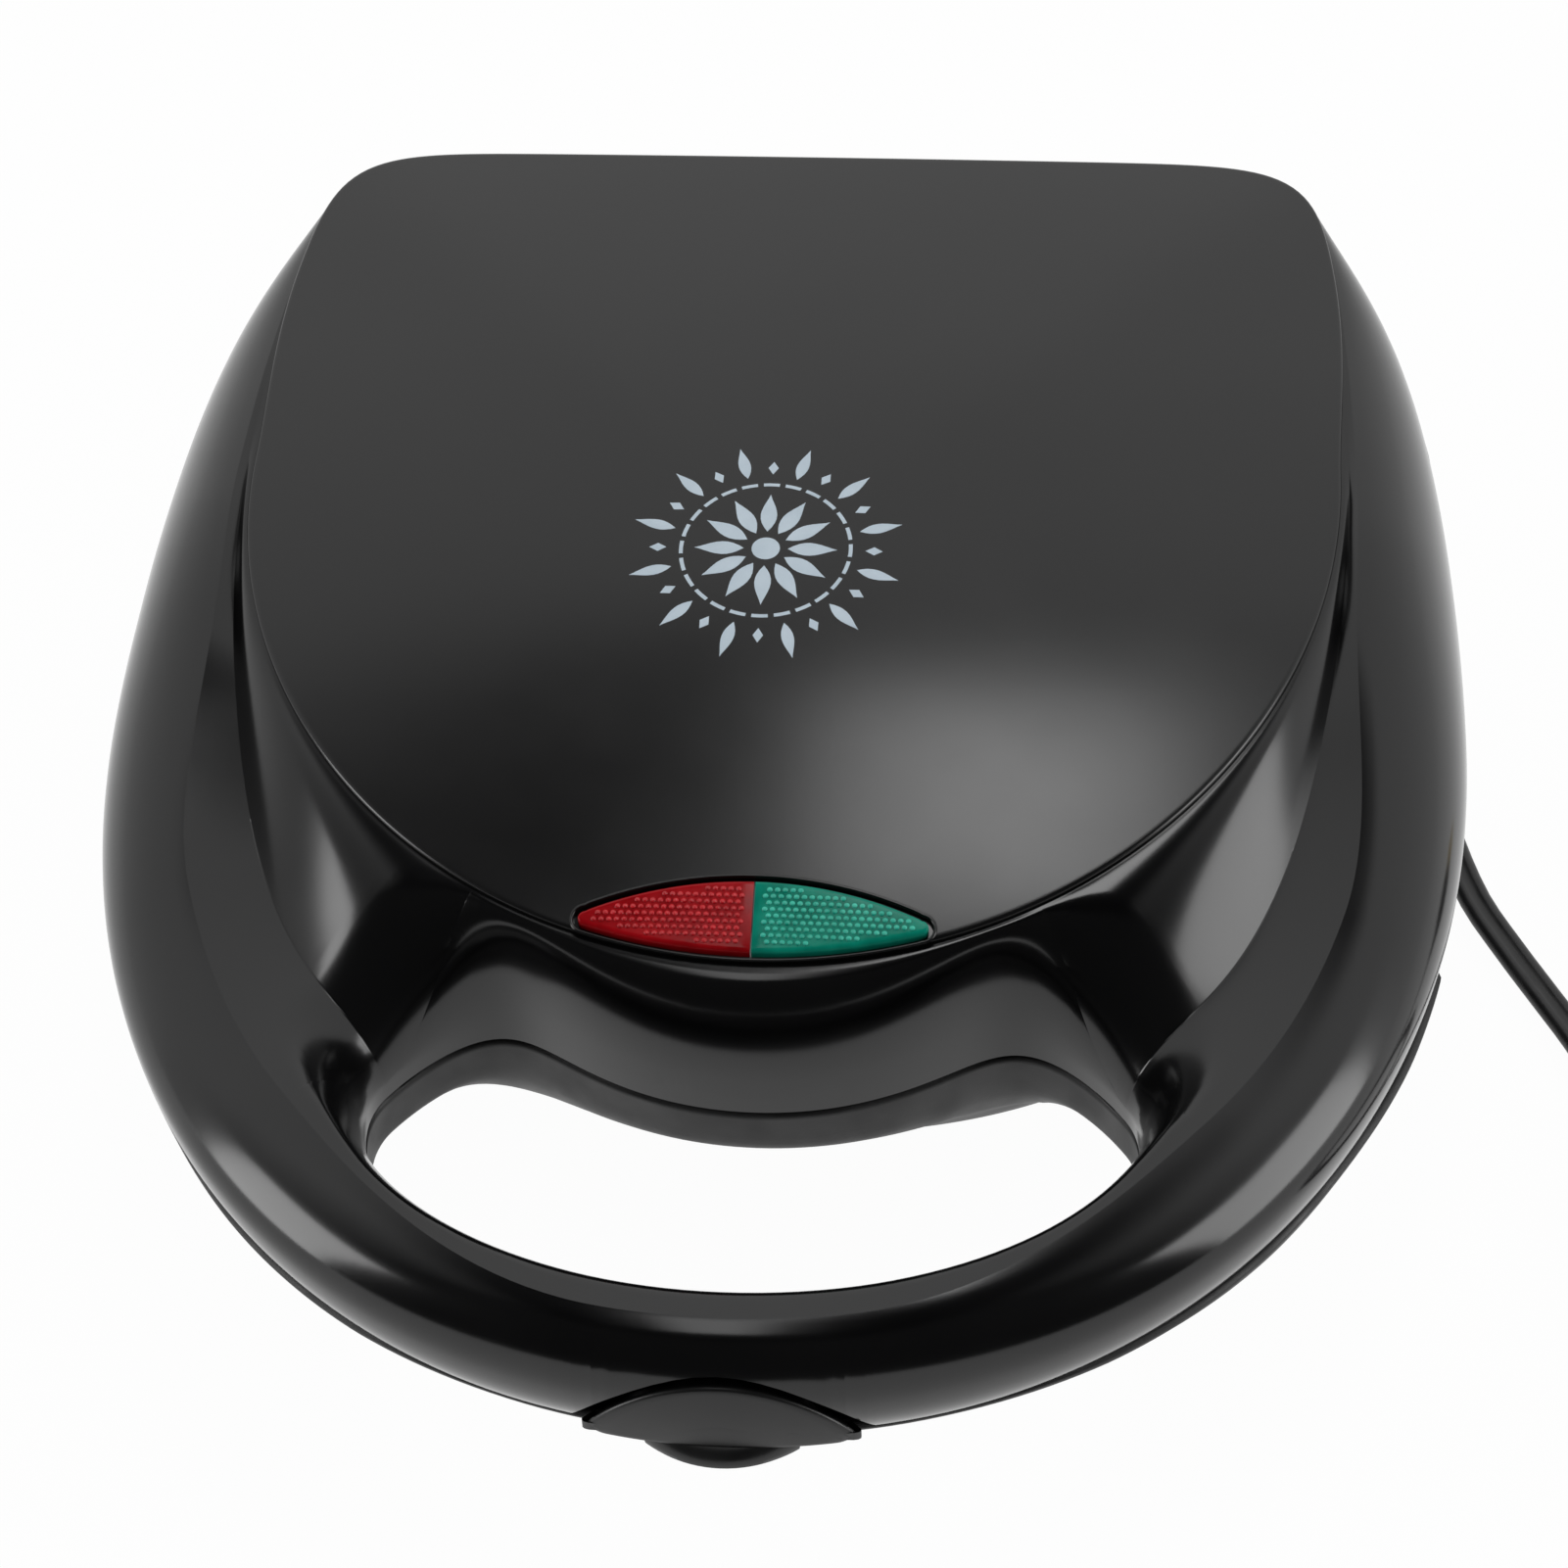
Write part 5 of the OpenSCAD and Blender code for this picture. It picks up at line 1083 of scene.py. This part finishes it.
# %% Frame screws
screw_steel = finish("screw_steel", (0.36, 0.36, 0.37), (0.5, 0.5, 0.51), (0.25, 0.38), 2, 0.15, 0.004, Metallic=1.0)
HEAD_TOP, HEAD_H, HEAD_W, CROSS_W = BASE_EDGE_Z - 0.1, 1.3, 6.6, 4.4
posts = [(way * x, y, HEAD_TOP - HEAD_H / 2) for way in (-1, 1) for x, y in ((84, -38.5), (62, 96.6))]
head_tree = repeat_tree("cross_heads", ("Head width", "Head height", "Cross width"), cross_head)
base_screws = crisp(repeated("base_frame_heads", posts, head_tree, screw_steel,
                             head_width=HEAD_W, head_height=HEAD_H, cross_width=CROSS_W), 40)
flipped = base_screws.data.copy()
flipped.transform(Matrix.Translation((0, 0, 2 * PART_Z * MM)) @ Matrix.Scale(-1, 4, (0, 0, 1)))
flipped.flip_normals()
lid_screws = bpy.data.objects.new("lid_frame_heads", flipped)
scene.collection.objects.link(lid_screws)
seat(base_screws, "base", "screw_steel", "base_frame_screws")
seat(lid_screws, "lid", "screw_steel", "lid_frame_screws")

# %% [markdown]
# ## Finishes of the works
# Frames, cooking plates, heaters and wiring blocks keep their solid shapes. Each takes the finish of its material:
# a fine speckle on the non-stick plates, dull heat-stained steel on the heaters, bright sheet on the shields.

# %% Works
frame_coat = finish("frame_coat", (0.010, 0.010, 0.0105), (0.017, 0.017, 0.0175), (0.36, 0.48), 10, 0.35, 0.01)
plate_coat = finish("plate_coat", (0.012, 0.012, 0.0125), (0.045, 0.045, 0.046), (0.3, 0.5), 0.7, 0.4, 0.006)
heater_steel = finish("heater_steel", (0.20, 0.18, 0.16), (0.36, 0.35, 0.33), (0.35, 0.5), 6, 0.3, 0.004, Metallic=1.0)
sheet_steel = finish("sheet_steel", (0.48, 0.48, 0.49), (0.6, 0.6, 0.61), (0.25, 0.4), 16, 0.25, 0.003, Metallic=1.0)
inner_plastic = finish("inner_plastic", (0.02, 0.02, 0.021), (0.035, 0.035, 0.036), (0.45, 0.6), 7, 0.4, 0.006)
pale_plastic = finish("pale_plastic", (0.52, 0.49, 0.43), (0.62, 0.59, 0.53), (0.4, 0.55), 6, 0.4, 0.006)
lamp_glass = finish("lamp_glass", (0.62, 0.58, 0.5), (0.74, 0.7, 0.62), (0.06, 0.12), 4, 0.4, 0.0)
coats = {
    gloss_shell: ("lid_shell",), grained_black: ("base_shell",), satin_latch: ("latch",),
    lens_clear["red"]: ("red_lens",), lens_clear["green"]: ("green_lens",),
    cord_vinyl: ("power_cord", "cord_coil"), tie_black: ("cord_tie",),
    soft_rubber: ("rubber_feet", "strain_relief", "plug_body"), bright_brass: ("plug_blades",),
    frame_coat: ("lid_frame", "base_frame"), plate_coat: ("upper_plate", "lower_plate"),
    heater_steel: ("upper_heater", "lower_heater", "upper_heater_clamps", "lower_heater_clamps"),
    sheet_steel: ("upper_heat_shield", "lower_heat_shield"), inner_plastic: ("lamp_holder",),
    screw_steel: ("upper_shield_screws", "lower_shield_screws", "upper_plate_screws", "lower_plate_screws",
                  "lid_frame_screws", "base_frame_screws", "hinge_pins", "latch_pin"),
    pale_plastic: ("thermostat", "thermal_fuse", "terminal_block"), lamp_glass: ("indicator_lamps",)}
for coat, names in coats.items():
    for name in names:
        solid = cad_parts[name]
        solid.data.materials.clear()
        solid.data.materials.append(coat)
print("solids with a finish:", sum(len(names) for names in coats.values()))

# %% [markdown]
# ## Floor, light and background
# The studio is a white sweep: a white floor and a white surround up to the height where the ceiling is dark. The
# world shader gives that surround by direction, so that gloss shows a white wall low down and darkness above. Soft
# boxes make the broad highlights.

# %% World
DARK, WHITE, FRONT_GREY, REAR_WHITE = (0.008, 0.008, 0.009), (1, 1, 1), (0.045, 0.045, 0.045), (0.94, 0.94, 0.94)
world = bpy.data.worlds.new("studio")
scene.world = world
world.use_nodes = True
sky = world.node_tree
ray, split, room = (add(sky, "ShaderNode" + kind) for kind in ("TexCoord", "SeparateXYZ", "Mix"))
room.data_type, room.blend_type = "RGBA", "MULTIPLY"
dial(room, Factor=1)
turn = add(sky, "ShaderNodeMapRange", From_Min=-1, From_Max=1)
by_height, by_depth = ramp(sky, 0.845, 0.915, WHITE, DARK), ramp(sky, 0.38, 0.6, FRONT_GREY, REAR_WHITE)
wire(sky, (ray, "Generated", split, "Vector"), (split, "Z", by_height, "Fac"), (split, "Y", turn, "Value"),
     (turn, "Result", by_depth, "Fac"), (by_height, "Color", room, "A"), (by_depth, "Color", room, "B"),
     (room, "Result", sky.nodes["Background"], "Color"))
print("world:", len(sky.nodes), "nodes")

# %% Floor
FLOOR_HALF, FLOOR_DOWN, FLOOR_GLOW = 6000, 0.0002, 0.97
floor_white = bpy.data.materials.new("floor_white")
floor_white.use_nodes = True
ground = floor_white.node_tree
paper = dial(ground.nodes["Principled BSDF"], Base_Color=(0.9, 0.9, 0.9, 1), Roughness=0.9)
glow, path, blend, seen, also, share = (add(ground, "ShaderNode" + kind) for kind in (
    "Emission", "LightPath", "MixShader", "Math", "Math", "Math"))
seen.operation = also.operation = "MAXIMUM"
share.operation, share.inputs[1].default_value = "MULTIPLY", FLOOR_GLOW
wire(ground, (path, "Is Camera Ray", seen, 0), (path, "Is Glossy Ray", seen, 1), (seen, 0, also, 0),
     (path, "Is Transmission Ray", also, 1), (also, 0, share, 0), (share, 0, blend, "Fac"), (paper, 0, blend, 1),
     (glow, 0, blend, 2), (blend, 0, ground.nodes["Material Output"], "Surface"))
floor = piece_from("floor", [(x * FLOOR_HALF, y * FLOOR_HALF, 0) for x, y in ((-1, -1), (1, -1), (1, 1), (-1, 1))],
                   [(0, 1, 2, 3)], floor_white)
floor.location.z = -FLOOR_DOWN
print("floor:", 2 * FLOOR_HALF * MM, "m wide")


# %% Soft boxes
def soft_box(name, at, aim, size, bright):
    """A rectangular light whose front shows the given brightness in a mirror."""
    lamp = bpy.data.lights.new(name, "AREA")
    lamp.shape = "RECTANGLE"
    lamp.size, lamp.size_y = size
    lamp.energy = bright * math.pi * size[0] * size[1]
    box = bpy.data.objects.new(name, lamp)
    scene.collection.objects.link(box)
    box.location = at
    box.rotation_mode = "QUATERNION"
    box.rotation_quaternion = (Vector(aim) - Vector(at)).to_track_quat("-Z", "Y")
    box.visible_camera = False
    print(name, "gives", round(lamp.energy, 2), "watts")


soft_box("box_above", (0.1, 0.265, 1.2), (0.1, 0.265, 0), (0.29, 0.42), 5.6)
soft_box("box_front", (-0.11, -0.22, 1.2), (-0.11, -0.22, 0), (0.14, 0.5), 2.8)
soft_box("box_right", (1.13, -0.2, 0.42), (0, 0, 0.06), (0.58, 0.8), 4.4)
soft_box("box_left", (-1.13, -0.345, 0.39), (0, 0, 0.06), (0.46, 0.74), 5.5)
